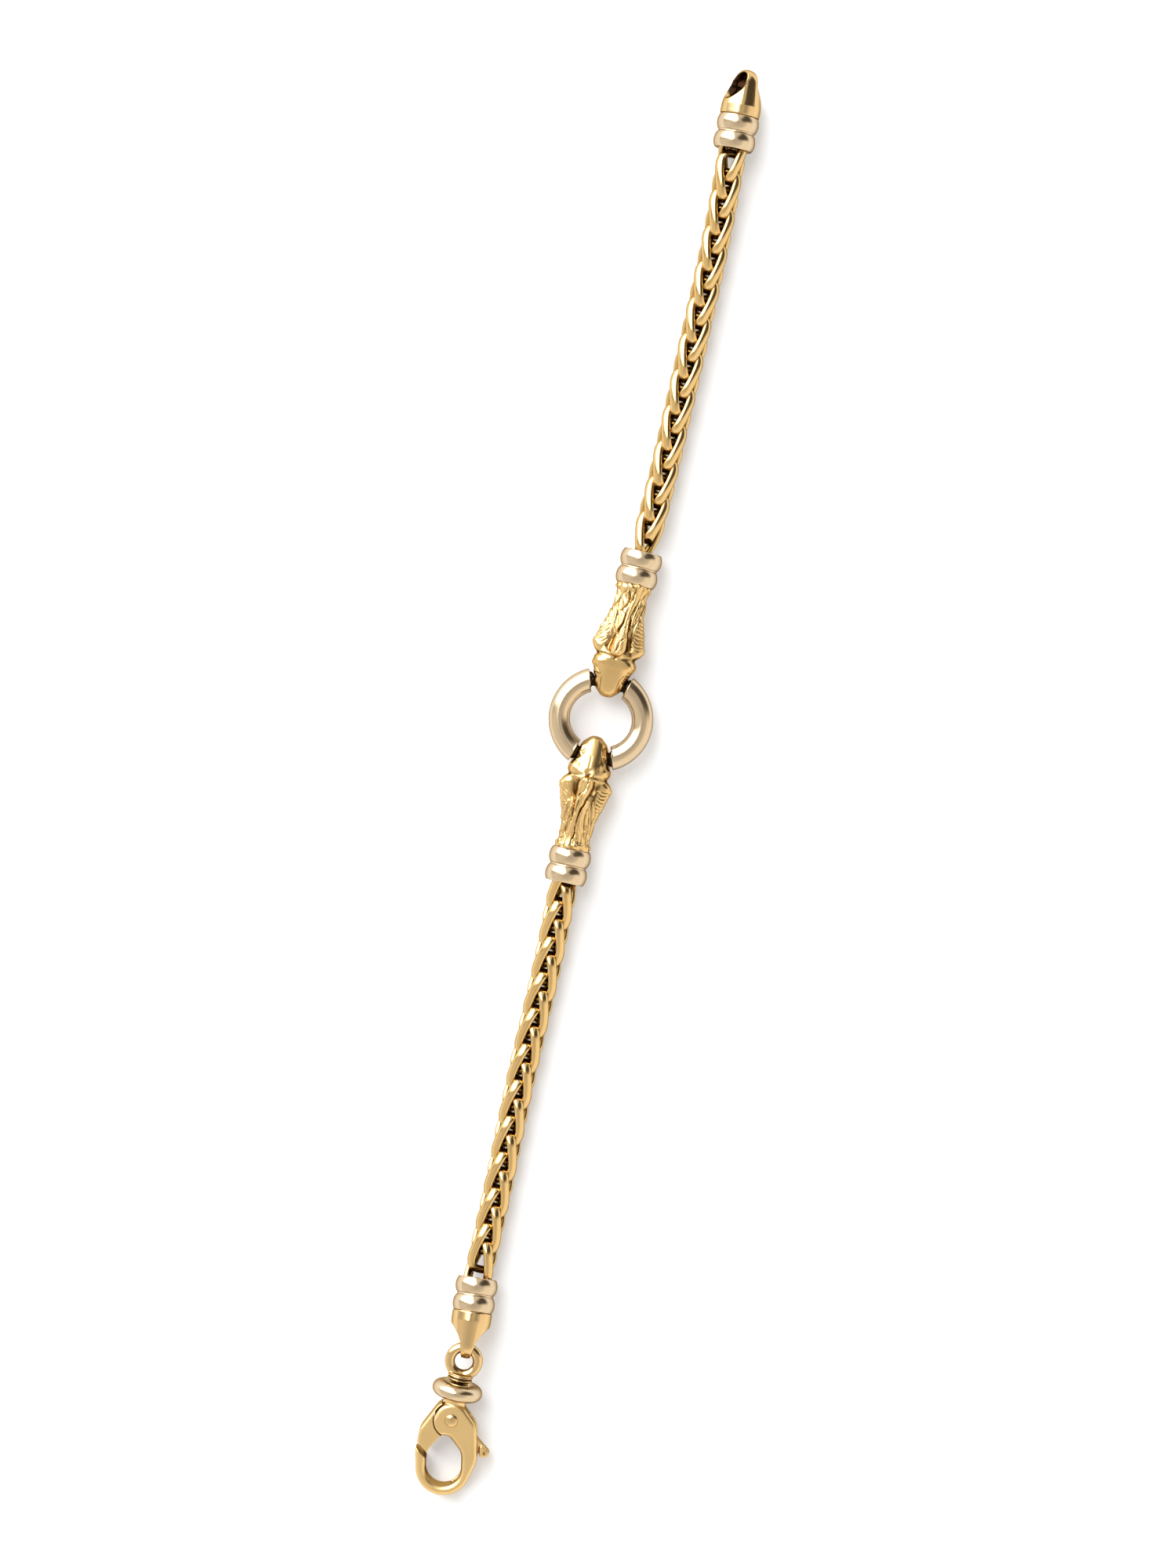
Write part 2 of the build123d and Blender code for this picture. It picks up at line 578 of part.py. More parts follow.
def clasp_body():
    """Two cheeks, the bow and the hook, with the slot for the lever and the neck's tube."""
    outline = hull(
        disc(PIVOT_SIDE, 0, CHEEK_RADIUS - CHEEK_STEP),
        disc(SHOULDER_SIDE, SHOULDER_DROP, SHOULDER_RADIUS),
        disc(BOW_SIDE, BOW_DROP, BOW_RADIUS),
        disc(BOW_SIDE, CLASP_DROP - BOW_END_RADIUS, BOW_END_RADIUS),
    )
    arm_side = sector(ARM_SIDE_START, ARM_SIDE_END, 3 * BOW_RADIUS) & hook_tip_cut(0)
    solid = plate(outline - hole_plan(), CLASP_HALF, CLASP_ROUNDING)
    cheek_face = disc(PIVOT_SIDE, 0, CHEEK_RADIUS)
    solid -= extrude(arm_side - cheek_face, 2 * CLASP_HALF, both=True)
    solid += rod(NECK_RADIUS, NECK_START, NECK_END + STEM_HEAD_LENGTH / 2)
    solid += rod(NECK_TUBE_RADIUS, RONDELLE_REACH - RONDELLE_TUBE + SOLDER_GAP, NECK_END)
    slot_start = LEVER_OUTER_ANGLE - LEVER_SPARE_ANGLE
    slot = sector(slot_start, ARM_SIDE_END + LEVER_TRAVEL, 3 * BOW_RADIUS) & hook_tip_cut(0)
    tail_end = disc(TAIL_SIDE, TAIL_DROP, TAIL_HALF + LEVER_ROOM)
    swung = [about_pivot(tail_end, turn) for turn in (0, LEVER_TRAVEL)]
    slot += hull(disc(PIVOT_SIDE, 0, LEVER_PLATE_RADIUS + LEVER_ROOM), *swung)
    solid -= extrude(slot, LEVER_PLATE_HALF + LEVER_ROOM, both=True)
    pocket_end = NECK_END + STEM_HEAD_LENGTH + 3 * RUNNING_GAP
    solid -= rod(STEM_HEAD_RADIUS + 2 * RUNNING_GAP, NECK_END, pocket_end)
    solid -= rod(STEM_RADIUS + RUNNING_GAP, RONDELLE_REACH - RONDELLE_TUBE, NECK_END + STEM_HEAD_LENGTH)
    return solid - Pos(PIVOT_SIDE, PIVOT_REACH, 0) * Cylinder(RIVET_RADIUS + SOLDER_GAP, 4 * CLASP_HALF)


def clasp_lever():
    """The arm that closes the hook, its plate round the rivet and the tail with the thumb tab."""
    cheek_clear = disc(PIVOT_SIDE, 0, CHEEK_RADIUS + 2 * RUNNING_GAP)
    outer = hull(
        disc(PIVOT_SIDE, 0, CHEEK_RADIUS + LEVER_SHOULDER),
        disc(LEVER_BULGE_SIDE, LEVER_BULGE_DROP, LEVER_BULGE_RADIUS),
        disc(BOW_SIDE, BOW_DROP, BOW_RADIUS),
    )
    keep = sector(LEVER_OUTER_ANGLE, LEVER_INNER_ANGLE, 3 * BOW_RADIUS)
    arm_plan = (keep & hook_tip_cut(LEVER_TIP_GAP)) - cheek_clear - hole_plan()
    arm = plate(outer, LEVER_ARM_HALF, LEVER_ROUNDING) & extrude(arm_plan, 2 * CLASP_HALF, both=True)
    web_plan = hull(disc(PIVOT_SIDE, 0, TAIL_ROOT_HALF), disc(WEB_SIDE, WEB_DROP, WEB_HALF))
    tail_plan = hull(disc(PIVOT_SIDE, 0, TAIL_ROOT_HALF), disc(TAIL_SIDE, TAIL_DROP, TAIL_HALF))
    plate_plan = disc(PIVOT_SIDE, 0, LEVER_PLATE_RADIUS) + web_plan + tail_plan
    solid = arm + extrude(plate_plan, LEVER_PLATE_HALF, both=True)
    solid += plate(hull(*[disc(*round) for round in TAB_ROUNDS]), TAB_HALF, TAB_ROUNDING)
    bore = Cylinder(RIVET_RADIUS + RUNNING_GAP, 4 * CLASP_HALF)
    return solid - Pos(PIVOT_SIDE, PIVOT_REACH, 0) * bore


def clasp_rivet():
    dome_radius = (RIVET_DOME_RADIUS**2 + RIVET_DOME**2) / (2 * RIVET_DOME)
    base = CLASP_HALF + SOLDER_GAP
    solid = Cylinder(RIVET_RADIUS, 2 * base)
    for facing in (0, 180):
        ball = Pos(0, 0, base + RIVET_DOME - dome_radius) * Sphere(dome_radius)
        solid += Rotation(facing, 0, 0) * (ball & Pos(0, 0, base + dome_radius) * Box(
            3 * dome_radius, 3 * dome_radius, 2 * dome_radius
        ))
    return Pos(PIVOT_SIDE, PIVOT_REACH, 0) * solid


def half(facing, head_turn, nose_reach, far_mouth, far_side, far_turn, far_pitch):
    """Frames of one half: its hinge, its near collar's mouth and its far collar's mouth."""
    base = Location((0, RING_PLACE, AXIS_HEIGHT), (0, 0, facing))
    hinge = Location((0, HINGE_REACH, 0), (0, 0, head_turn))
    near = hinge * Location((0, HEAD_LENGTH - nose_reach + COLLAR_LENGTH, 0))
    far = Location((far_side, far_mouth, 0), (far_pitch, 0, far_turn))
    return base, hinge, near, far


PIECES = {}

# The ring and the half that ends in the plain eye
base, hinge, near, far = half(
    0, UPPER_HEAD_TURN, UPPER_NOSE_REACH, UPPER_FAR_MOUTH, UPPER_FAR_SIDE, UPPER_FAR_TURN, 0
)
PIECES["centre_ring"] = base * ring()
PIECES["head_upper"] = base * hinge * head(UPPER_NOSE_REACH)
PIECES["collar_upper_head"] = base * near * Location((0, -COLLAR_LENGTH, 0)) * collar()
PIECES["chain_upper"] = base * chain(near, far, UPPER_ROUTE, UPPER_FIRST_LINK, -1)
PIECES["collar_tip"] = base * far * collar()
PIECES["tip_cap"] = base * far * Location((0, COLLAR_LENGTH, 0), (0, TIP_CAP_TURN, 0)) * cap()
tip_eye = base * far * Location((0, COLLAR_LENGTH + CAP_EYE_REACH, 0), (0, TIP_CAP_TURN, 0))

# The half that ends in the clasp
base, hinge, near, far = half(
    180, LOWER_HEAD_TURN, LOWER_NOSE_REACH, LOWER_FAR_MOUTH, LOWER_FAR_SIDE, LOWER_FAR_TURN, END_CAP_PITCH
)
PIECES["head_lower"] = base * hinge * head(LOWER_NOSE_REACH)
PIECES["collar_lower_head"] = base * near * Location((0, -COLLAR_LENGTH, 0)) * collar()
PIECES["chain_lower"] = base * chain(near, far, LOWER_ROUTE, LOWER_FIRST_LINK, 1)
PIECES["collar_clasp"] = base * far * collar()
PIECES["end_cap"] = base * far * Location((0, COLLAR_LENGTH, 0)) * cap()

# The clasp hangs in the end cap's eye, and slopes down from its rondelle to its hook
eye_seat = base * far * Location((0, COLLAR_LENGTH + EYE_HINGE_REACH, 0))
swivel = Location(
    (eye_seat.position.X, eye_seat.position.Y, EYE_HINGE_HEIGHT), (0, 0, 180)
) * Location((0, 0, 0), (-CLASP_TILT, 0, 0))
PIECES["swivel_eye"] = swivel * swivel_eye()
PIECES["rondelle"] = swivel * rondelle()
PIECES["clasp_body"] = swivel * clasp_body()
PIECES["clasp_lever"] = swivel * clasp_lever()
PIECES["clasp_rivet"] = swivel * clasp_rivet()

os.makedirs("parts", exist_ok=True)
for name, piece in PIECES.items():
    export_step(piece, "parts/" + name + ".step")

rivet_place = swivel * Location((PIVOT_SIDE, PIVOT_REACH, 0))
print("ring middle", RING_PLACE, AXIS_HEIGHT, "hinges at", RING_PLACE + HINGE_REACH, RING_PLACE - HINGE_REACH)
print("tip eye", tip_eye.position, (tip_eye * Location((1, 0, 0))).position - tip_eye.position)
print("swivel", swivel.position, (swivel * Location((0, 1, 0))).position - swivel.position)
print("rivet", rivet_place.position, (rivet_place * Location((0, 0, 1))).position - rivet_place.position)
print("tilt", CLASP_TILT, "pitch", END_CAP_PITCH)
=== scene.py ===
import math

import bmesh
import bpy
from mathutils import Matrix, Vector, noise


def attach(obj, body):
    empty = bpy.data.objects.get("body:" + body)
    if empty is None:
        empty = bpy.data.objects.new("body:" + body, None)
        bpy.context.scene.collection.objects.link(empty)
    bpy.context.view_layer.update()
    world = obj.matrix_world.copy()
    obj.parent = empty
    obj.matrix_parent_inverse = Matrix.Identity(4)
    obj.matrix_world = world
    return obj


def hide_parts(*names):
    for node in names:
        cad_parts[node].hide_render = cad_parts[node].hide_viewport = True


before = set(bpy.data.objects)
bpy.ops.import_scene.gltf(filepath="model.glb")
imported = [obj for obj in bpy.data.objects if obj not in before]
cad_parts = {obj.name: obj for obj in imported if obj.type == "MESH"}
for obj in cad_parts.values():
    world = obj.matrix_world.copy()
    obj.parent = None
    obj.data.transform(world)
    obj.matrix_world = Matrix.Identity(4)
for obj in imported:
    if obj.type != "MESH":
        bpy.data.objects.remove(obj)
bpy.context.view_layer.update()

# A two-tone gold bracelet. Sizes are in millimetres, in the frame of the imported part.
MILLIMETRE = 0.001

# Places along the bracelet
RING_PLACE = 8.30
AXIS_HEIGHT = 2.75
HINGE_REACH = 4.65
HEAD_LENGTH = 15.05
COLLAR_LENGTH = 4.46
UPPER_NOSE_REACH = 1.68
LOWER_NOSE_REACH = 2.35
UPPER_HEAD_TURN = -1.9
LOWER_HEAD_TURN = 0.0
# Far collars: side, reach, tilt about x and turn about z in degrees
UPPER_FAR = (0.47, 76.22, 0.0, 1.5)
LOWER_FAR = (-0.33, 74.58, 6.366, 3.8)
EYE_HINGE = (0.9331, -75.3033, 4.0157)
CLASP_TILT = 7.2724

# Chain
WIRE = 1.02
LINK_WIRE_WIDTH = 1.42
LINK_WIDTH_INSIDE = 1.62
LINK_REACH = 1.50
LINK_PITCH = 2.40
LINK_LENGTH = 2.50 * LINK_PITCH
LINK_START_ANGLE = 79.0
LINK_END_ANGLE = 10.5
LINK_FULLNESS = 3.4
LINK_COUNT = 22
CHAIN_SAG = 0.62
# The chains' ways between their collars: reach, side and height from the bracelet's axis
UPPER_ROUTE = [(33.0, 0.90, -CHAIN_SAG), (50.0, 0.98, -CHAIN_SAG), (65.0, 0.90, -CHAIN_SAG)]
LOWER_ROUTE = [(33.0, -0.20, -CHAIN_SAG), (48.0, -0.10, -CHAIN_SAG), (63.0, -0.32, -CHAIN_SAG)]
UPPER_FIRST_LINK = 0.78
LOWER_FIRST_LINK = 2.36

# Collars and rondelle
COLLAR_RADIUS = 2.75
COLLAR_FOOT_RADIUS = 2.46
COLLAR_GROOVE_RADIUS = 2.34
COLLAR_BORE = 2.20
COLLAR_BEAD = 2.06
RONDELLE_RADIUS = 3.30
RONDELLE_TUBE = 1.00
RONDELLE_REACH = 5.80
NECK_TUBE_RADIUS = 1.26

# Centre ring
RING_RADIUS = 6.83
RING_SIDE_WIRE = 1.39
RING_END_WIRE = 1.60
RING_NECK = 0.62
# The neck's radius by its reach beyond the middle of the gap beside the muzzle
RING_NECK_FLARE = [(RING_NECK, -0.42), (1.00, -0.22), (1.22, 0.30)]
MUZZLE_GAP_INSIDE = 2.00
MUZZLE_GAP_OUTSIDE = 2.92
MUZZLE_GAP_DEPTH = 2.90

# Head
HEAD_HALF_WIDTH = 2.75
HEAD_HALF_HEIGHT = 2.60

# Tip cap's eye
TIP_EYE = (0.2472, 93.0271, 2.75)
TIP_EYE_AXIS = (0.8657, 0.0227, -0.5000)
TIP_EYE_RADIUS = 1.50
TIP_EYE_LAND = 0.35
TIP_EYE_FLARE = 0.35

# Swivel eye's ring and foot, along the clasp from its hinge
EYE_MIDDLE = 1.82
FOOT_START = 3.62
FOOT_RIDGE = 0.42

# Rivet of the clasp
PIVOT_SIDE = -0.11
PIVOT_REACH = 9.60
CLASP_HALF = 1.60
RIVET_RADIUS = 0.55
RIVET_DOME_RADIUS = 0.85
RIVET_DOME = 0.22

# The hook's hole and the thumb tab's recess, in the clasp's own plan
HOLE_SIDE = -0.20
HOLE_REACH = 14.70
TAB_SIDE = -5.22
TAB_REACH = 13.05
TAB_TURN = 38.0


def seat(x=0.0, y=0.0, z=0.0, about_x=0.0, about_y=0.0, about_z=0.0):
    """A place in millimetres, turned in degrees about x, then y, then z."""
    turn = Matrix.Rotation(math.radians(about_x), 4, "X") @ Matrix.Rotation(math.radians(about_y), 4, "Y")
    return Matrix.Translation((x, y, z)) @ turn @ Matrix.Rotation(math.radians(about_z), 4, "Z")


UPPER_BASE = seat(0, RING_PLACE, AXIS_HEIGHT)
LOWER_BASE = seat(0, RING_PLACE, AXIS_HEIGHT, about_z=180)
UPPER_HINGE = UPPER_BASE @ seat(0, HINGE_REACH, 0, about_z=UPPER_HEAD_TURN)
LOWER_HINGE = LOWER_BASE @ seat(0, HINGE_REACH, 0, about_z=LOWER_HEAD_TURN)
UPPER_COLLAR = UPPER_HINGE @ seat(0, HEAD_LENGTH - UPPER_NOSE_REACH)
LOWER_COLLAR = LOWER_HINGE @ seat(0, HEAD_LENGTH - LOWER_NOSE_REACH)
UPPER_END = UPPER_BASE @ seat(UPPER_FAR[0], UPPER_FAR[1], 0, UPPER_FAR[2], 0, UPPER_FAR[3])
LOWER_END = LOWER_BASE @ seat(LOWER_FAR[0], LOWER_FAR[1], 0, LOWER_FAR[2], 0, LOWER_FAR[3])
CLASP_SEAT = seat(*EYE_HINGE, about_z=180) @ seat(about_x=-CLASP_TILT)


# Materials

def linear(code):
    """An sRGB hex colour as linear red, green, blue and alpha."""
    channels = [int(code[i:i + 2], 16) / 255 for i in (1, 3, 5)]
    return [c / 12.92 if c <= 0.04045 else ((c + 0.055) / 1.055) ** 2.4 for c in channels] + [1.0]


def add(tree, kind, settings=None, **links):
    """Adds a node; settings are its properties or input values, links join its inputs by name."""
    node = tree.nodes.new(kind)
    for name, value in (settings or {}).items():
        if isinstance(name, str) and hasattr(node, name):
            setattr(node, name, value)
        else:
            node.inputs[name].default_value = value
    for name, output in links.items():
        tree.links.new(output, node.inputs[name.replace("_", " ")])
    return node


# The edge tint that gold keeps at a glancing angle
EDGE_TINT = "#A08C70"
# Wear varies the polish in soft clouds, 350 to the metre or about 3 mm wide
WEAR_CLOUDS = 350.0
# The grain is what the last finishing step leaves. Its real marks are about 0.01 mm wide,
# and they are drawn at 0.08 to 0.30 mm, because they are too fine to show otherwise
GRAIN_DEPTH = 0.00002


def metal(name, colour, rough, grain_mm, grain_height, painted_shade_colour):
    """Gold alloy: a warm mirror with shade painted into its hollows, and a fine finishing grain."""
    material = bpy.data.materials.new(name)
    material.use_nodes = True
    tree = material.node_tree
    shader = tree.nodes["Principled BSDF"]
    shader.inputs["Metallic"].default_value = 1.0
    shader.inputs["Specular Tint"].default_value = linear(EDGE_TINT)
    place = add(tree, "ShaderNodeTexCoord").outputs["Object"]
    cloud = add(tree, "ShaderNodeTexNoise", {"Scale": WEAR_CLOUDS, "Detail": 3.0}, Vector=place)
    grain = add(tree, "ShaderNodeTexNoise", {"Scale": 1000.0 / grain_mm, "Detail": 2.0}, Vector=place)
    # The hollow attribute says how much of the painted shade colour each point takes
    hollow = add(tree, "ShaderNodeAttribute", {"attribute_name": "hollow"}).outputs["Fac"]
    tone = add(tree, "ShaderNodeMix", {"data_type": "RGBA"}, Factor=hollow)
    tone.inputs[6].default_value = linear(colour)
    tone.inputs[7].default_value = linear(painted_shade_colour)
    tree.links.new(tone.outputs[2], shader.inputs["Base Color"])
    polish = {"To Min": rough * 0.8, "To Max": rough * 1.25}
    spread = add(tree, "ShaderNodeMapRange", polish, Value=cloud.outputs["Fac"])
    tree.links.new(spread.outputs["Result"], shader.inputs["Roughness"])
    relief = {"Strength": grain_height, "Distance": GRAIN_DEPTH}
    surface = add(tree, "ShaderNodeBump", relief, Height=grain.outputs["Fac"])
    tree.links.new(surface.outputs["Normal"], shader.inputs["Normal"])
    return material


# Chain: bright streaks along each wire, painted shade between the wires
CHAIN_GOLD = metal("yellow_gold_drawn_wire_polished", "#D4B37A", 0.17, 0.15, 0.15, "#6A5026")
# Heads: soft highlights on the raised hair, painted shade in its hollows
HEAD_GOLD = metal("yellow_gold_cast_and_burnished", "#D6B47B", 0.24, 0.10, 0.30, "#4E340F")
# Caps, swivel eye and rivet: clear reflections in broad bands, painted shade in the bores
CAP_GOLD = metal("yellow_gold_turned_and_polished", "#D3B481", 0.17, 0.20, 0.10, "#4A3424")
# Clasp: an even sheen without clear reflections, with painted shade on the walls inside the hook and in the
# thumb tab's recess
CLASP_GOLD = metal("yellow_gold_cast_satin_finish", "#E0C087", 0.32, 0.08, 0.45, "#5A3A14")
# Ring, collars and rondelle: a beige mirror, greyer than the yellow gold, with painted shade on the ring's
# necks
WHITE_GOLD = metal("white_gold_unplated_high_polish", "#CCB798", 0.20, 0.30, 0.08, "#2E2A26")


# Meshes

def make_piece(name, points, faces, place, material, body, nodes=(), hollow=None):
    """A smooth mesh from points in millimetres, at its place in the row frame."""
    mesh = bpy.data.meshes.new(name)
    mesh.from_pydata([(place @ Vector(p)) * MILLIMETRE for p in points], [], faces)
    if hollow is not None:
        attribute = mesh.attributes.new("hollow", "FLOAT", "POINT")
        attribute.data.foreach_set("value", hollow)
    dress = bmesh.new()
    dress.from_mesh(mesh)
    bmesh.ops.remove_doubles(dress, verts=dress.verts, dist=0.000001)
    bmesh.ops.recalc_face_normals(dress, faces=dress.faces)
    dress.to_mesh(mesh)
    dress.free()
    mesh.shade_smooth()
    piece = bpy.data.objects.new(name, mesh)
    bpy.context.scene.collection.objects.link(piece)
    mesh.materials.append(material)
    hold(piece, body, nodes)
    return piece


def hold(piece, body, nodes=()):
    """Joins a piece to its body and hides the nodes that it stands for."""
    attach(piece, body)
    if nodes:
        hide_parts(*nodes)


def skin(loops, closed_path=False):
    """Faces through loops of points, with flat fans on open ends."""
    points = [point for loop in loops for point in loop]
    count = len(loops[0])
    faces = []
    spans = len(loops) if closed_path else len(loops) - 1
    for i in range(spans):
        low = i * count
        high = ((i + 1) % len(loops)) * count
        for k in range(count):
            j = (k + 1) % count
            faces.append((low + k, low + j, high + j, high + k))
    if not closed_path:
        for end in (0, (len(loops) - 1) * count):
            ring = points[end:end + count]
            points.append(sum((Vector(p) for p in ring), Vector()) / count)
            for k in range(count):
                faces.append((end + k, end + (k + 1) % count, len(points) - 1))
    return points, faces


def turned_about_y(profile, sides=96):
    """Loops of a turned shape from its profile of radius and place along y."""
    loops = []
    for radius, along in profile:
        loop = []
        for k in range(sides):
            turn = 2 * math.pi * k / sides
            loop.append((radius * math.cos(turn), along, radius * math.sin(turn)))
        loops.append(loop)
    return loops


def arc(start, top, end, steps=14):
    """Points of the arc through three points, the end left out."""
    (ax, ay), (bx, by), (cx, cy) = start, top, end
    d = 2 * (ax * (by - cy) + bx * (cy - ay) + cx * (ay - by))
    ux = ((ax**2 + ay**2) * (by - cy) + (bx**2 + by**2) * (cy - ay) + (cx**2 + cy**2) * (ay - by)) / d
    uy = ((ax**2 + ay**2) * (cx - bx) + (bx**2 + by**2) * (ax - cx) + (cx**2 + cy**2) * (bx - ax)) / d
    radius = math.hypot(ax - ux, ay - uy)
    first = math.atan2(ay - uy, ax - ux)
    last = math.atan2(cy - uy, cx - ux)
    middle = math.atan2(by - uy, bx - ux)
    sweep = (last - first) % (2 * math.pi)
    if (middle - first) % (2 * math.pi) > sweep:
        sweep -= 2 * math.pi
    return [
        (ux + radius * math.cos(first + sweep * i / steps), uy + radius * math.sin(first + sweep * i / steps))
        for i in range(steps)
    ]


def collar(name, place, body):
    """Two rounded beads with a groove between them, turned from one blank."""
    first_end = (COLLAR_FOOT_RADIUS, COLLAR_BEAD)
    second_start = (COLLAR_FOOT_RADIUS, COLLAR_LENGTH - COLLAR_BEAD)
    profile = [(COLLAR_BORE, 0.0)]
    profile += arc((COLLAR_FOOT_RADIUS, 0), (COLLAR_RADIUS, COLLAR_BEAD / 2), first_end)
    profile += arc(first_end, (COLLAR_GROOVE_RADIUS, COLLAR_LENGTH / 2), second_start, 6)
    second_top = (COLLAR_RADIUS, COLLAR_LENGTH - COLLAR_BEAD / 2)
    profile += arc(second_start, second_top, (COLLAR_FOOT_RADIUS, COLLAR_LENGTH))
    profile += [(COLLAR_FOOT_RADIUS, COLLAR_LENGTH), (COLLAR_BORE, COLLAR_LENGTH)]
    profile += [(COLLAR_BORE, COLLAR_LENGTH * (1 - i / 6)) for i in range(1, 6)]
    points, faces = skin(turned_about_y(profile), closed_path=True)
    make_piece(name + "_beads", points, faces, place, WHITE_GOLD, body, [name])


def rondelle():
    """A round bead behind the clasp, turned with the neck's bore through it."""
    middle = RONDELLE_RADIUS - RONDELLE_TUBE
    profile = []
    for i in range(40):
        turn = 2 * math.pi * i / 40
        radius = max(middle + RONDELLE_TUBE * math.cos(turn), NECK_TUBE_RADIUS + 0.04)
        profile.append((radius, RONDELLE_REACH + RONDELLE_TUBE * math.sin(turn)))
    points, faces = skin(turned_about_y(profile, 128), closed_path=True)
    make_piece("rondelle_bead", points, faces, CLASP_SEAT, WHITE_GOLD, "clasp", ["rondelle"])


def rivet():
    """The lever's rivet, with a low dome at each end."""
    base = CLASP_HALF + 0.04
    ball = (RIVET_DOME_RADIUS**2 + RIVET_DOME**2) / (2 * RIVET_DOME)
    profile = []
    for i in range(12):
        radius = RIVET_DOME_RADIUS * i / 11
        profile.append((radius, base + RIVET_DOME - ball + math.sqrt(ball**2 - radius**2)))
    profile += [(RIVET_RADIUS, base), (RIVET_RADIUS, -base)]
    profile += [(radius, -along) for radius, along in reversed(profile[:12])]
    place = CLASP_SEAT @ seat(PIVOT_SIDE, PIVOT_REACH, 0, about_x=90)
    points, faces = skin(turned_about_y([(max(r, 0.001), y) for r, y in profile], 64))
    make_piece("clasp_rivet_domes", points, faces, place, CAP_GOLD, "clasp", ["clasp_rivet"])


RING_STATIONS = 90
RING_SIDES = 64
# Degrees from which the search for the wire's end face starts
FIRST_GUESS = 75


def ring():
    """Round wire, thicker towards the muzzles, with a thinner neck through each of them."""
    points = []
    faces = []
    stations = RING_STATIONS
    slope = (MUZZLE_GAP_OUTSIDE - MUZZLE_GAP_INSIDE) / MUZZLE_GAP_DEPTH
    inside = HINGE_REACH - MUZZLE_GAP_DEPTH / 2
    # Each end face lies on a slanted line through the gap's two corners
    for facing in (0, 180):
        loops = []
        for i in range(stations + 1):
            share = 2 * i / stations - 1
            loop = []
            for k in range(RING_SIDES):
                side = 2 * math.pi * k / RING_SIDES
                turn = math.radians(FIRST_GUESS) * share
                for _ in range(6):
                    wire = wire_at(math.degrees(turn))
                    reach = RING_RADIUS - wire + wire * math.cos(side)
                    limit = end_angle(reach, slope, inside)
                    turn = limit * share
                height = wire * math.sin(side)
                place = math.radians(facing) + turn
                loop.append((reach * math.cos(place), reach * math.sin(place), height))
            loops.append(loop)
        add_points, add_faces = skin(rounded_ends(loops))
        faces += [tuple(index + len(points) for index in face) for face in add_faces]
        points += add_points
    make_piece(
        "centre_ring_wire", points, faces, UPPER_BASE, WHITE_GOLD, "ring", ["centre_ring"],
    )
    # The necks through the heads are painted in shade, and swell into the ring's ends
    half_gap = (MUZZLE_GAP_INSIDE + MUZZLE_GAP_OUTSIDE) / 2
    profile = [(radius, half_gap + beyond) for radius, beyond in RING_NECK_FLARE]
    profile = [(radius, -along) for radius, along in reversed(profile)] + [(RING_NECK, 0.0)] + profile
    for i, facing in enumerate((-1, 1)):
        points, faces = skin(turned_about_y(profile, 48))
        place = UPPER_BASE @ seat(0, facing * HINGE_REACH, 0, about_z=90)
        make_piece(
            "centre_ring_neck_%d" % i, points, faces, place, WHITE_GOLD, "ring",
            hollow=[1.0] * len(points),
        )


def wire_at(turn):
    """The ring wire's radius at this angle from its side."""
    rise = (1 - math.cos(math.radians(1.6 * turn))) / 1.5
    return RING_SIDE_WIRE + (RING_END_WIRE - RING_SIDE_WIRE) * rise


def end_angle(reach, slope, inside):
    """The angle at which a circle of this radius meets the gap's slanted face."""
    turn = math.radians(65)
    for _ in range(8):
        half_gap = MUZZLE_GAP_INSIDE + slope * (reach * math.sin(turn) - inside)
        turn = math.acos(min(half_gap / reach, 1.0))
    return turn


def rounded_ends(loops, edge=0.12):
    """Adds small steps that round the rims of both ends."""
    result = []
    for order in (loops, loops[::-1]):
        first = order[0]
        second = order[1]
        middle = sum((Vector(p) for p in first), Vector()) / len(first)
        inner_middle = sum((Vector(p) for p in second), Vector()) / len(second)
        inward = (inner_middle - middle).normalized()
        radius = (Vector(first[0]) - middle).length
        steps = []
        for turn in (0, 30, 60, 90):
            shrink = 1 - edge * (1 - math.sin(math.radians(turn))) / radius
            depth = edge * (1 - math.cos(math.radians(turn)))
            steps.append([middle + (Vector(p) - middle) * shrink + inward * depth for p in first])
        result.append(steps)
    start, finish = result
    return start + [[Vector(p) for p in loop] for loop in loops[1:-1]] + finish[::-1]


# Cast heads

HEAD_SECTIONS = [
    # along, width, top, under, square
    (0.000, 0.10, 0.20, 0.10, 1.00),
    (0.008, 0.26, 0.36, 0.28, 0.95),
    (0.030, 0.42, 0.50, 0.46, 0.85),
    (0.060, 0.60, 0.58, 0.56, 0.75),
    (0.105, 0.71, 0.66, 0.60, 0.70),
    (0.155, 0.78, 0.74, 0.64, 0.70),
    (0.195, 0.86, 0.80, 0.70, 0.74),
    (0.225, 0.94, 0.84, 0.78, 0.78),
    (0.285, 1.03, 0.92, 0.88, 0.82),
    (0.345, 1.00, 0.97, 0.92, 0.86),
    (0.420, 0.88, 0.96, 0.92, 0.92),
    (0.520, 0.84, 0.93, 0.90, 0.95),
    (0.660, 0.80, 0.86, 0.86, 1.00),
    (0.800, 0.76, 0.80, 0.80, 1.00),
    (0.930, 0.76, 0.80, 0.80, 1.00),
    (0.960, 0.84, 0.89, 0.89, 1.00),
    (1.000, 0.84, 0.89, 0.89, 1.00),
]


def bump(value, centre, half_width):
    """1 at the centre, easing to 0 at the half width."""
    share = (value - centre) / half_width
    return 0.0 if abs(share) >= 1 else math.cos(share * math.pi / 2) ** 2


def blend(value, start, end):
    """0 at the start, easing to 1 at the end."""
    share = min(max((value - start) / (end - start), 0.0), 1.0)
    return share * share * (3 - 2 * share)


def power(value, exponent):
    """A power that keeps the sign."""
    return math.copysign(abs(value) ** exponent, value)


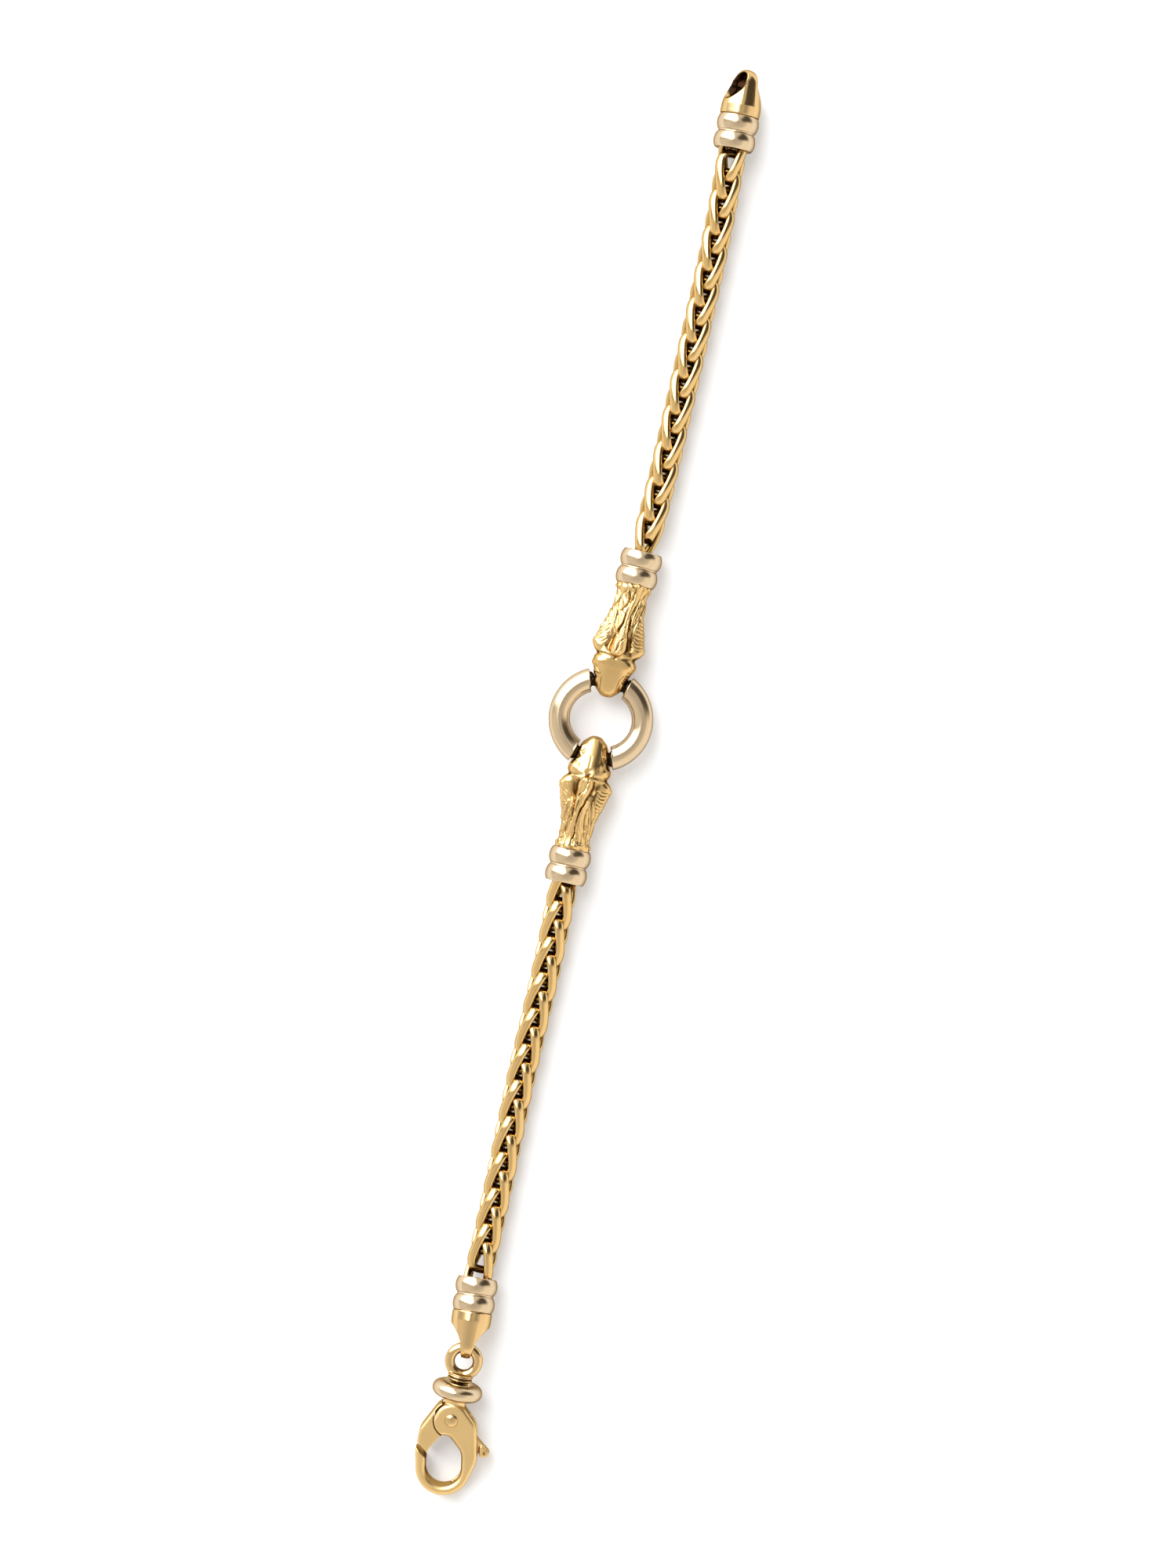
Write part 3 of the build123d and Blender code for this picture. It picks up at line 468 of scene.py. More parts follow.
def head_section(along):
    """Width, top, under side and squareness at this share of the head's length."""
    for i in range(1, len(HEAD_SECTIONS)):
        if along <= HEAD_SECTIONS[i][0]:
            before = HEAD_SECTIONS[max(i - 2, 0)]
            low = HEAD_SECTIONS[i - 1]
            high = HEAD_SECTIONS[i]
            after = HEAD_SECTIONS[min(i + 1, len(HEAD_SECTIONS) - 1)]
            span = high[0] - low[0]
            t = (along - low[0]) / span
            values = []
            for c in range(1, 5):
                m0 = (high[c] - before[c]) / max(high[0] - before[0], 0.001) * span
                m1 = (after[c] - low[c]) / max(after[0] - low[0], 0.001) * span
                h = 2 * t**3 - 3 * t**2 + 1, t**3 - 2 * t**2 + t, -2 * t**3 + 3 * t**2, t**3 - t**2
                values.append(h[0] * low[c] + h[1] * m0 + h[2] * high[c] + h[3] * m1)
            return values
    return HEAD_SECTIONS[-1][1:]


def head_mass(along, side, angle):
    """The large forms: ears, side tufts, forelock, valleys and brows."""
    ear = 0.30 * blend(along, 0.340, 0.372) * blend(along, 0.52, 0.43) * bump(side, 82, 40)
    tuft = 0.98 * blend(along, 0.36, 0.46) * blend(along, 0.82, 0.48) * bump(side, 78, 38)
    forelock = 0.38 * blend(along, 0.345, 0.395) * bump(angle, 0, 30)
    forelock *= 1 - 0.55 * blend(along, 0.62, 0.92)
    valley = -0.30 * bump(along, 0.50, 0.16) * bump(side, 36, 20)
    brow = 0.22 * bump(along, 0.29, 0.07) * bump(side, 48, 26)
    brow += 0.20 * bump(along, 0.275, 0.05) * bump(side, 78, 30)
    return ear + tuft + forelock + valley + brow


def along_curve(value, points):
    """The value between chosen points, eased from one to the next."""
    for (low, start), (high, end) in zip(points, points[1:]):
        if value <= high:
            return start + (end - start) * blend(value, low, high)
    return points[-1][1]


# Half width of the smooth nose plate, by millimetres from the nose
NOSE_PLATE = [
    (0.0, 0.74), (0.3, 0.88), (1.5, 1.10), (2.4, 1.22), (2.9, 1.48), (3.5, 2.10), (4.3, 2.35), (5.3, 1.9),
]

# The forelock and the strand that it runs into: middle and half width by millimetres from the nose
FORELOCK_HALF = [
    (5.2, 0.55), (6.6, 0.95), (7.5, 0.82), (8.7, 0.50), (10.0, 0.32), (11.0, 0.26), (13.0, 0.32),
    (15.0, 0.40),
]
FORELOCK_MIDDLE = {
    1: [
        (5.2, -0.15), (6.6, 0.05), (8.5, 0.12), (9.7, 0.25), (11.0, 0.24), (12.0, 0.42), (13.0, 0.66),
        (15.0, 0.85),
    ],
    -1: [(5.2, -0.05), (6.5, 0.05), (8.2, 0.28), (10.4, 0.52), (12.0, 0.60), (15.0, 0.72)],
}
FORELOCK_CREASE = [(5.6, -0.30), (6.8, -0.10), (7.3, -0.05), (8.1, 0.50), (9.2, 0.25), (10.6, 0.0)]


def nose_relief(x, s, hand, wobble):
    """The nose plate with its overhanging edge, the brow lobes and the sides of the muzzle."""
    edge = abs(x) - along_curve(s, NOSE_PLATE) + 0.07 * wobble
    muzzle = blend(s, 0.1, 0.5) * blend(s, 4.9, 4.0)
    relief = -0.16 * blend(edge, -0.03, 0.03) * blend(edge, 0.9, 0.5) * muzzle
    relief -= 0.16 * bump(edge, 0.07, 0.10) * muzzle
    folds = noise.noise(Vector((x * 1.6, s * 1.5, 3.0 + hand)))
    folds += 0.25 * noise.noise(Vector((x * 4, s * 4, 1.0)))
    relief += 0.13 * folds * blend(edge, 0.08, 0.30) * blend(s, 5.2, 4.4)
    relief -= 0.13 * bump(math.hypot(abs(x) - 1.22, s - 0.85), 0, 0.24)
    relief -= 0.09 * bump(math.hypot(abs(x) - 1.62, s - 2.60), 0, 0.30)
    # Brow lobes, which drop off behind towards the ears
    lobe = math.hypot((abs(x) - 1.80) / 1.00, (s - 4.25) / 0.95)
    relief += 0.17 * blend(lobe, 1.05, 0.0) - 0.11 * bump(s, 5.35, 0.42) * blend(abs(x), 0.5, 1.1)
    relief -= 0.09 * bump(x, 0.0, 0.90) * bump(s, 4.75, 0.75)
    relief -= 0.18 * bump(x + 0.08, 0, 0.45) * bump(s, 5.18, 0.30)
    if hand < 0:
        # This one has a rounder bridge, parted by a short crease
        relief -= 0.11 * min(abs(x), 1.3) ** 2 * blend(s, 5.0, 3.6)
        relief -= 0.07 * bump(x - 0.10, 0, 0.13) * blend(s, 2.4, 2.9) * blend(s, 4.5, 4.0)
    return relief


def forelock_relief(x, s, hand, wobble):
    """The lock between the ears, parted by one winding crease, and how far in it this place is."""
    half = along_curve(s, FORELOCK_HALF)
    across = (x - along_curve(s, FORELOCK_MIDDLE[hand])) / half
    lock = blend(abs(across), 1.12, 0.80) * blend(s, 5.25, 5.65)
    relief = lock * 0.28 * (1 - 0.35 * across * across)
    crease = bump(across - along_curve(s, FORELOCK_CREASE), 0, 0.20) * blend(s, 5.6, 6.3)
    crease *= blend(s, 11.0, 10.0)
    relief -= lock * 0.20 * crease
    relief += lock * 0.045 * math.cos(across * 12 + 2.5 * wobble) * blend(s, 11.0, 9.5)
    relief -= 0.26 * bump(abs(across), 1.50, 0.50) * blend(s, 5.5, 6.2) * blend(s, 13.0, 9.0)
    return relief, lock


# Leaf-like locks of the mane: middle across, middle from the nose, half width, half length, lean, rise
MANE_LOCKS = [
    (-0.75, 12.75, 0.52, 1.50, 0.10, 0.22),
    (-1.55, 11.30, 0.26, 2.20, -0.18, 0.14),
    (-1.02, 9.60, 0.24, 1.90, -0.22, 0.14),
    (-1.75, 13.00, 0.24, 1.40, -0.05, 0.12),
    (-2.05, 10.30, 0.22, 1.60, -0.20, 0.12),
    (1.12, 11.40, 0.24, 2.10, 0.10, 0.14),
    (1.62, 12.30, 0.24, 2.00, 0.06, 0.13),
    (1.70, 9.90, 0.22, 1.80, 0.20, 0.13),
    (2.05, 12.00, 0.22, 1.80, 0.10, 0.12),
    (0.10, 13.50, 0.22, 1.00, 0.10, 0.11),
]


def mane_relief(x, s, hand, wobble):
    """Leaf-like locks over short strands that run back and outwards."""
    ragged = noise.noise(Vector((x * 2.2, s * 1.1, 7.0 + hand)))
    spread = abs(x) * 0.92 - 0.30 * (s - 9.0) + 0.40 * wobble + 0.14 * ragged
    coarse = 1 - 2 * abs(math.sin(math.pi * spread / 0.46))
    tufted = 0.6 + 0.8 * noise.noise(Vector((spread * 1.5, s * 0.55, 2.0 - hand)))
    relief = 0.055 * coarse * tufted * blend(s, 8.6, 9.6) * blend(s, 14.5, 13.9)
    for middle, reach, half, length, lean, rise in MANE_LOCKS:
        along = (s - reach) / length
        if abs(along) < 1:
            across = (x * hand - middle - lean * (s - reach) - 0.12 * wobble) / (half * (1 - along * along))
            if abs(across) < 1.5:
                raised = rise * (1 - 0.4 * across * across) * blend(abs(across), 1.1, 0.8)
                raised *= blend(abs(along), 1.0, 0.8)
                relief += raised - 0.10 * bump(abs(across), 1.22, 0.25)
    return relief


def tuft_relief(x, s, side, hand, wobble):
    """Crimped hair behind one ear and slanting bristles behind the other."""
    place = blend(s, 6.7, 7.05) * blend(s, 11.2, 9.8) * blend(abs(x), 1.55, 2.0) * blend(side, 130, 108)
    if x * hand > 0:
        ridge = (s + 0.10 * math.sin(3 * x) + 0.12 * noise.noise(Vector((x * 2, s * 0.9, 4.0)))) / 0.47
        crisp = 0.10 if hand > 0 else 0.065
        return place * crisp * (1 - 2 * abs(math.sin(math.pi * ridge))) * blend(side, 96, 78)
    slant = (s * 0.80 + abs(x) * 0.80 + 0.30 * wobble) / 0.50
    clumps = 0.5 + noise.noise(Vector((x * 1.6, s * 1.6, 6.0)))
    crisp = 0.10 if hand > 0 else 0.06
    return place * crisp * math.cos(2 * math.pi * slant) * clumps * blend(side, 100, 82)


def ear_relief(x, s, hand):
    """A rounded ear, hollow in front; the one on the right is larger and comes to a point."""
    right = x * hand > 0
    hollow = bump(math.hypot((abs(x) - 2.85) / 0.75, (s - 5.45) / (0.62 if right else 0.50)), 0, 1.0)
    rise = bump(math.hypot((abs(x) - 2.60) / 0.80, (s - 6.25) / 0.60), 0, 1.0)
    return 0.14 * rise - (0.34 if right else 0.24) * hollow


def head_detail(x, s, side, angle, hand):
    """The modelled surface: x across and s from the nose in millimetres, seen from above."""
    upper = blend(side, 112, 92)
    wobble = noise.noise(Vector((x * 0.8, s * 0.7, hand * 5.0)))
    lock_relief, lock = forelock_relief(x, s, hand, wobble)
    relief = nose_relief(x, s, hand, wobble) + lock_relief + ear_relief(x, s, hand)
    relief += mane_relief(x, s, hand, wobble) * (1 - lock)
    relief *= upper
    relief += tuft_relief(x, s, side, hand, wobble)
    # Under side: plain strands
    below = blend(side, 95, 120) * blend(s, 5.5, 7.5) * blend(s, 14.5, 13.8)
    relief += below * 0.08 * math.cos(math.radians(side) * 13 + 0.35 * s)
    # Lumpy rim against the collar
    rim = blend(s, 14.20, 14.40)
    lumps = noise.noise(Vector((math.radians(angle) * 2.6, s * 1.5, 9.0)))
    return relief + rim * (0.05 * math.cos(math.radians(angle) * 13 + 4.0 * s) + 0.14 * lumps)


def valley_shade(x, s, hand, height):
    """Painted shade in the valleys between forelock and ears, deeper on the right, behind the brows and in
    the right ear's hollow.
    """
    right = x * hand > 0
    valley = bump(abs(x) - 0.16 * (7.6 - s), 1.42, 0.50) * blend(s, 5.6, 6.4) * blend(s, 10.0, 8.4)
    behind = blend(abs(x), 0.7, 1.4) * blend(abs(x), 3.1, 2.6) * bump(s, 5.50, 0.42)
    facet_shade = blend(abs(x), 2.35, 2.75) * bump(s, 5.45, 0.62) * right
    return (valley * (0.90 if right else 0.55) + behind * 0.50 + facet_shade) * (height > 0)


def box_average(rows, reach):
    """Each row's values averaged over their neighbours, round the row."""
    result = []
    for row in rows:
        count = len(row)
        total = sum(row[-reach:]) + sum(row[:reach + 1])
        averaged = []
        for i in range(count):
            averaged.append(total / (2 * reach + 1))
            total += row[(i + reach + 1) % count] - row[i - reach]
        result.append(averaged)
    return result


# The head's skin: steps along and round it, and how far round a point its surroundings reach
SKIN_STATIONS = 310
SKIN_SIDES = 230
NEAR_ROUND = 5
NEAR_ALONG = 6
# Depth below the surroundings, in millimetres, where the painted shade starts, and how fast it grows
SHADE_FROM = 0.02
SHADE_RATE = 6.0


def head(name, place, nose_reach, body, hand):
    """One head: a dense skin over the large forms, carried to the collar's bore."""
    loops = []
    depths = []
    stations = SKIN_STATIONS
    sides = SKIN_SIDES
    for i in range(stations):
        share = i / (stations - 1)
        along = share * (0.72 + 0.28 * share)
        width, top, under, square = head_section(along)
        s = HEAD_LENGTH * along
        loop = []
        depth = []
        for k in range(sides):
            angle = 360 * k / sides
            signed = angle if angle <= 180 else angle - 360
            side = abs(signed)
            sine = math.sin(math.radians(angle))
            cosine = math.cos(math.radians(angle))
            tall = under + (top - under) * blend(cosine, -0.35, 0.35)
            across = power(sine, square) * width * HEAD_HALF_WIDTH
            up = power(cosine, square) * tall * HEAD_HALF_HEIGHT
            mass = head_mass(along, side, signed)
            reach = max(math.hypot(across, up), 0.1)
            x = across * (1 + mass / reach)
            fine = head_detail(x, s, side, signed, hand) * blend(s, 0.0, 0.5)
            grow = 1 + (mass + fine) / reach
            loop.append((across * grow, s - nose_reach, up * grow))
            depth.append(fine)
        loops.append(loop)
        depths.append(depth)
    # What lies lower than its surroundings is painted darker, as shade in the head's hollows
    around = box_average(depths, NEAR_ROUND)
    around = [list(column) for column in zip(*box_average(list(zip(*around)), NEAR_ALONG))]
    hollow = []
    for i, (depth, level) in enumerate(zip(depths, around)):
        valleys = [valley_shade(x, y + nose_reach, hand, z) for x, y, z in loops[i]]
        hollow += [
            min(max((high - low - SHADE_FROM) * SHADE_RATE, 0.0) + valley, 1.0)
            for low, high, valley in zip(depth, level, valleys)
        ]
    spigot = COLLAR_BORE - 0.04
    back = HEAD_LENGTH - nose_reach
    for y in (back, back + 1.4):
        loops.append([
            (spigot * math.sin(2 * math.pi * k / sides), y, spigot * math.cos(2 * math.pi * k / sides))
            for k in range(sides)
        ])
        hollow += [0.0] * sides
    points, faces = skin(loops)
    hollow += [0.0, 0.0]
    make_piece(name + "_casting", points, faces, place, HEAD_GOLD, body, [name], hollow)


# Chain

def even_steps(points, count):
    """The closed path through the points, stepped evenly."""
    ends = points[1:] + points[:1]
    lengths = [(end - start).length for start, end in zip(points, ends)]
    result = []
    i = 0
    passed = 0.0
    for k in range(count):
        wanted = sum(lengths) * k / count
        while passed + lengths[i] < wanted:
            passed += lengths[i]
            i += 1
        result.append(points[i].lerp(ends[i], (wanted - passed) / lengths[i]))
    return result


def link_mesh(name, hand, stations=84, sides=16):
    """One twisted oval link along +y, of slightly flattened wire, with shade painted on the side towards the
    chain's middle.
    """
    centres = []
    hollow = []
    for i in range(720):
        turn = 2 * math.pi * i / 720
        along = 0.5 - 0.5 * power(math.cos(turn), 2 / LINK_FULLNESS)
        reach = LINK_REACH * power(math.sin(turn), 2 / LINK_FULLNESS)
        angle = math.radians(LINK_START_ANGLE + (LINK_END_ANGLE - LINK_START_ANGLE) * along)
        centres.append(Vector((hand * reach * math.cos(angle), LINK_LENGTH * along, reach * math.sin(angle))))
    # The corners of the wire's path are eased
    centres = even_steps(centres, stations)
    for _ in range(4):
        centres = [
            centres[i] * 0.5 + (centres[i - 1] + centres[(i + 1) % stations]) * 0.25 for i in range(stations)
        ]
    middle = sum(centres, Vector()) / stations
    loops = []
    for i, centre in enumerate(centres):
        tangent = (centres[(i + 1) % stations] - centres[i - 1]).normalized()
        outward = centre - Vector((0, middle.y, 0))
        outward = (outward - tangent * outward.dot(tangent)).normalized()
        across = tangent.cross(outward)
        inside = blend(math.hypot(centre.x, centre.z), 1.35, 0.90)
        width = LINK_WIRE_WIDTH + (LINK_WIDTH_INSIDE - LINK_WIRE_WIDTH) * inside
        loop = []
        for k in range(sides):
            side = 2 * math.pi * k / sides
            spot = centre + outward * math.cos(side) * WIRE / 2 + across * math.sin(side) * width / 2
            loop.append(spot * MILLIMETRE)
            # Painted shade, deepest near the chain's axis where the links shade each other
            hollow.append(blend(math.hypot(spot.x, spot.z), 1.55, 1.00))
        loops.append(loop)
    points, faces = skin(loops, closed_path=True)
    mesh = bpy.data.meshes.new(name)
    mesh.from_pydata([tuple(p) for p in points], [], faces)
    mesh.attributes.new("hollow", "FLOAT", "POINT").data.foreach_set("value", hollow)
    dress = bmesh.new()
    dress.from_mesh(mesh)
    bmesh.ops.recalc_face_normals(dress, faces=dress.faces)
    dress.to_mesh(mesh)
    dress.free()
    mesh.shade_smooth()
    piece = bpy.data.objects.new(name, mesh)
    bpy.context.scene.collection.objects.link(piece)
    return piece


def route_points(points, steps=24):
    """Points along a smooth curve through the chosen points."""
    result = []
    for i in range(len(points) - 1):
        before = points[max(i - 1, 0)]
        low, high = points[i], points[i + 1]
        after = points[min(i + 2, len(points) - 1)]
        span = (high - low).length
        lead = (high - before) / max((high - low).length + (low - before).length, 0.001) * span
        trail = (after - low) / max((high - low).length + (after - high).length, 0.001) * span
        for k in range(steps):
            t = k / steps
            result.append(
                low * (2 * t**3 - 3 * t**2 + 1) + lead * (t**3 - 2 * t**2 + t)
                + high * (-2 * t**3 + 3 * t**2) + trail * (t**3 - t**2)
            )
    return result + [points[-1]]


def chain_tree():
    """Node tree that sets links along a curve, left and right handed in turn, as one mesh."""
    tree = bpy.data.node_groups.new("wheat_chain", "GeometryNodeTree")
    face = tree.interface
    face.new_socket("Route", in_out="INPUT", socket_type="NodeSocketGeometry")
    for label in ("First link", "Second link"):
        face.new_socket(label, in_out="INPUT", socket_type="NodeSocketObject")
    face.new_socket("Links", in_out="INPUT", socket_type="NodeSocketInt")
    face.new_socket("Pitch", in_out="INPUT", socket_type="NodeSocketFloat")
    face.new_socket("Start", in_out="INPUT", socket_type="NodeSocketFloat")
    face.new_socket("Finish", in_out="INPUT", socket_type="NodeSocketMaterial")
    face.new_socket("Chain", in_out="OUTPUT", socket_type="NodeSocketGeometry")
    given = tree.nodes.new("NodeGroupInput").outputs
    places = add(tree, "GeometryNodeMeshLine", Count=given["Links"])
    index = add(tree, "GeometryNodeInputIndex").outputs[0]
    run = add(tree, "ShaderNodeMath", {"operation": "MULTIPLY"})
    tree.links.new(index, run.inputs[0])
    tree.links.new(given["Pitch"], run.inputs[1])
    length = add(tree, "ShaderNodeMath", {"operation": "ADD"})
    tree.links.new(run.outputs[0], length.inputs[0])
    tree.links.new(given["Start"], length.inputs[1])
    on_route = add(
        tree, "GeometryNodeSampleCurve", {"mode": "LENGTH"}, Curves=given["Route"], Length=length.outputs[0],
    )
    turn = add(tree, "FunctionNodeAxesToRotation", {"primary_axis": "Y", "secondary_axis": "Z"})
    turn.inputs["Secondary Axis"].default_value = (0, 0, 1)
    tree.links.new(on_route.outputs["Tangent"], turn.inputs["Primary Axis"])
    placed = add(
        tree, "GeometryNodeSetPosition", Geometry=places.outputs[0], Position=on_route.outputs["Position"],
    )
    parity = add(tree, "ShaderNodeMath", {"operation": "MODULO", 1: 2.0})
    tree.links.new(index, parity.inputs[0])
    join = tree.nodes.new("GeometryNodeJoinGeometry")
    is_odd = add(tree, "FunctionNodeCompare", {"data_type": "FLOAT", "operation": "GREATER_THAN"})
    tree.links.new(parity.outputs[0], is_odd.inputs[0])
    is_odd.inputs[1].default_value = 0.5
    is_even = add(tree, "FunctionNodeBooleanMath", {"operation": "NOT"})
    tree.links.new(is_odd.outputs[0], is_even.inputs[0])
    for label, chosen in (("First link", is_even), ("Second link", is_odd)):
        shape = add(tree, "GeometryNodeObjectInfo", Object=given[label])
        rows = add(
            tree, "GeometryNodeInstanceOnPoints", None, Points=placed.outputs[0],
            Selection=chosen.outputs[0], Instance=shape.outputs["Geometry"], Rotation=turn.outputs[0],
        )
        tree.links.new(rows.outputs[0], join.inputs[0])
    real = add(tree, "GeometryNodeRealizeInstances", None, Geometry=join.outputs[0])
    dressed = add(tree, "GeometryNodeSetMaterial", None, Geometry=real.outputs[0], Material=given["Finish"])
    out = tree.nodes.new("NodeGroupOutput")
    tree.links.new(dressed.outputs[0], out.inputs["Chain"])
    return tree


def chain(name, near, far, base, chosen, first_link, first_hand, body, tree):
    """One chain from collar to collar, as the link count and pitch give it."""
    points = [near @ Vector((0, COLLAR_LENGTH / 2, 0)), near @ Vector((0, COLLAR_LENGTH, 0))]
    points += [base @ Vector((side, reach, height)) for reach, side, height in chosen]
    points += [far @ Vector((0, 0, 0)), far @ Vector((0, COLLAR_LENGTH / 2, 0))]
    curve = bpy.data.curves.new(name + "_route", "CURVE")
    curve.dimensions = "3D"
    line = curve.splines.new("POLY")
    path = route_points(points)
    line.points.add(len(path) - 1)
    for spot, point in zip(line.points, path):
        spot.co = (*(point * MILLIMETRE), 1)
    route = bpy.data.objects.new(name + "_route", curve)
    bpy.context.scene.collection.objects.link(route)
    shapes = [link_mesh(name + "_link_a", first_hand), link_mesh(name + "_link_b", -first_hand)]
    for shape in shapes:
        shape.data.transform(Matrix.Translation((0, -LINK_LENGTH / 2 * MILLIMETRE, 0)))
    rows = route.modifiers.new("wheat_chain", "NODES")
    rows.node_group = tree
    sockets = {item.name: item.identifier for item in tree.interface.items_tree if item.in_out == "INPUT"}
    start = COLLAR_LENGTH / 2 - first_link
    rows[sockets["First link"]] = shapes[0]
    rows[sockets["Second link"]] = shapes[1]
    rows[sockets["Links"]] = LINK_COUNT
    rows[sockets["Pitch"]] = LINK_PITCH * MILLIMETRE
    rows[sockets["Start"]] = (start + LINK_LENGTH / 2) * MILLIMETRE
    rows[sockets["Finish"]] = CHAIN_GOLD
    bpy.context.view_layer.update()
    evaluated = route.evaluated_get(bpy.context.evaluated_depsgraph_get())
    mesh = bpy.data.meshes.new_from_object(evaluated)
    piece = bpy.data.objects.new(name + "_links", mesh)
    bpy.context.scene.collection.objects.link(piece)
    for left in (route, *shapes):
        bpy.data.objects.remove(left)
    mesh.name = name + "_links"
    if not mesh.materials:
        mesh.materials.append(CHAIN_GOLD)
    mesh.shade_smooth()
    hold(piece, body, [name])
    return piece


# Castings that keep the shape of their solid

def tip_eye(spot):
    """The tip cap's eye: shade is painted on its wall, and its lower mouth isn't flared as the upper one is.
    """
    axis = Vector(TIP_EYE_AXIS).normalized()
    away = spot - Vector(TIP_EYE)
    depth = away.dot(axis)
    radial = away - axis * depth
    wall = TIP_EYE_RADIUS + TIP_EYE_FLARE * max(abs(depth) - TIP_EYE_LAND, 0)
    outside = radial.length - wall
    closing = blend(outside, 0.30, 0.06) * blend(depth, TIP_EYE_LAND, TIP_EYE_LAND + 0.1)
    radial *= 1 - closing * (1 - TIP_EYE_RADIUS / max(radial.length, TIP_EYE_RADIUS))
    return Vector(TIP_EYE) + axis * depth + radial, blend(outside, 0.20, 0.07) * blend(-depth, 1.75, 1.30)


def swivel_foot(spot):
    """Turned ridges round the swivel eye's foot, with shade painted in their grooves, beyond them towards the
    rondelle and inside the eye.
    """
    local = CLASP_SEAT.inverted() @ spot
    away = math.hypot(local.x, local.z)
    ridge = blend(local.y, FOOT_START, FOOT_START + 0.15) * blend(away, 1.25, 1.45)
    groove = 0.5 + 0.5 * math.cos(2 * math.pi * (local.y - FOOT_START) / FOOT_RIDGE)
    shrink = 1 - 0.13 * ridge * groove
    inner = 0.7 * blend(math.hypot(local.x, local.y - EYE_MIDDLE), 1.45, 1.20)
    painted_shade = max(ridge * groove, blend(local.y, 4.44, 4.50), inner)
    return CLASP_SEAT @ Vector((local.x * shrink, local.y, local.z * shrink)), painted_shade


def clasp_wall(spot):
    """The walls inside the hook and beside the lever are painted in shade, darker than the faces."""
    local = CLASP_SEAT.inverted() @ spot
    from_hole = math.hypot(local.x - HOLE_SIDE, (local.y - HOLE_REACH) * 0.80)
    wall = blend(abs(local.z), 1.45, 1.05) * blend(from_hole, 2.95, 2.55)
    return spot, 0.85 * wall


def thumb_tab(spot):
    """A plain lozenge let into the thumb tab's upper face, with shade painted in it."""
    local = CLASP_SEAT.inverted() @ spot
    along = Vector((local.x - TAB_SIDE, local.y - TAB_REACH)) @ Matrix.Rotation(math.radians(TAB_TURN), 2)
    lozenge = abs(along.x) / 0.20 + abs(along.y) / 0.42
    sunk = blend(lozenge, 1.15, 0.85) * (local.z > 0.4)
    painted_shade = max(sunk * 0.6, clasp_wall(spot)[1])
    return CLASP_SEAT @ (local - Vector((0, 0, 0.12 * sunk))), painted_shade


def casting(node, body, material, voxel_mm=0.09, passes=3, rework=None):
    """A close skin over a solid of the frame, with its edges eased as polishing leaves them."""
    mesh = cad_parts[node].data.copy()
    piece = bpy.data.objects.new(node + "_casting", mesh)
    bpy.context.scene.collection.objects.link(piece)
    dress = bmesh.new()
    dress.from_mesh(mesh)
    bmesh.ops.remove_doubles(dress, verts=dress.verts, dist=0.000001)
    dress.to_mesh(mesh)
    dress.free()
    mesh.materials.clear()
    remesh = piece.modifiers.new("remesh", "REMESH")
    remesh.mode = "VOXEL"
    remesh.voxel_size = voxel_mm * MILLIMETRE
    soft = piece.modifiers.new("soft", "SMOOTH")
    soft.factor = 0.5
    soft.iterations = passes
    bpy.context.view_layer.update()
    evaluated = piece.evaluated_get(bpy.context.evaluated_depsgraph_get())
    finished = bpy.data.meshes.new_from_object(evaluated)
    piece.modifiers.clear()
    piece.data = finished
    finished.name = node + "_casting"
    finished.materials.clear()
    finished.materials.append(material)
    finished.shade_smooth()
    if rework:
        shade = []
        for vertex in finished.vertices:
            spot, hollow = rework(vertex.co / MILLIMETRE)
            vertex.co = spot * MILLIMETRE
            shade.append(hollow)
        finished.attributes.new("hollow", "FLOAT", "POINT").data.foreach_set("value", shade)
    hold(piece, body, [node])
    return piece


# Making the pieces

ring()
head("head_upper", UPPER_HINGE, UPPER_NOSE_REACH, "tip_half", 1)
head("head_lower", LOWER_HINGE, LOWER_NOSE_REACH, "clasp_half", -1)
collar("collar_upper_head", UPPER_COLLAR, "tip_half")
collar("collar_tip", UPPER_END, "tip_half")
collar("collar_lower_head", LOWER_COLLAR, "clasp_half")
collar("collar_clasp", LOWER_END, "clasp_half")
links = chain_tree()
chain(
    "chain_upper", UPPER_COLLAR, UPPER_END, UPPER_BASE, UPPER_ROUTE, UPPER_FIRST_LINK, -1, "tip_half", links,
)
chain(
    "chain_lower", LOWER_COLLAR, LOWER_END, LOWER_BASE, LOWER_ROUTE, LOWER_FIRST_LINK, 1, "clasp_half", links,
)
casting("tip_cap", "tip_half", CAP_GOLD, 0.07, rework=tip_eye)
casting("end_cap", "clasp_half", CAP_GOLD)
casting("swivel_eye", "eye", CAP_GOLD, 0.05, rework=swivel_foot)
casting("clasp_body", "clasp", CLASP_GOLD, rework=clasp_wall)
casting("clasp_lever", "lever", CLASP_GOLD, 0.07, rework=thumb_tab)
rondelle()
rivet()


# Floor, light and camera

FLOOR_HALF = 1.5


def floor():
    """A plain sheet of white paper."""
    mesh = bpy.data.meshes.new("floor")
    half = FLOOR_HALF
    corners = [(-half, -half, 0), (half, -half, 0), (half, half, 0), (-half, half, 0)]
    mesh.from_pydata(corners, [], [(0, 1, 2, 3)])
    piece = bpy.data.objects.new("floor", mesh)
    bpy.context.scene.collection.objects.link(piece)
    paper = bpy.data.materials.new("white_paper_matt")
    paper.use_nodes = True
    shader = paper.node_tree.nodes["Principled BSDF"]
    shader.inputs["Base Color"].default_value = linear("#DCDEE2")
    shader.inputs["Roughness"].default_value = 0.9
    shader.inputs["Specular IOR Level"].default_value = 0.1
    shader.inputs["Emission Color"].default_value = linear("#FAFBFF")
    shader.inputs["Emission Strength"].default_value = 0.2
    mesh.materials.append(paper)


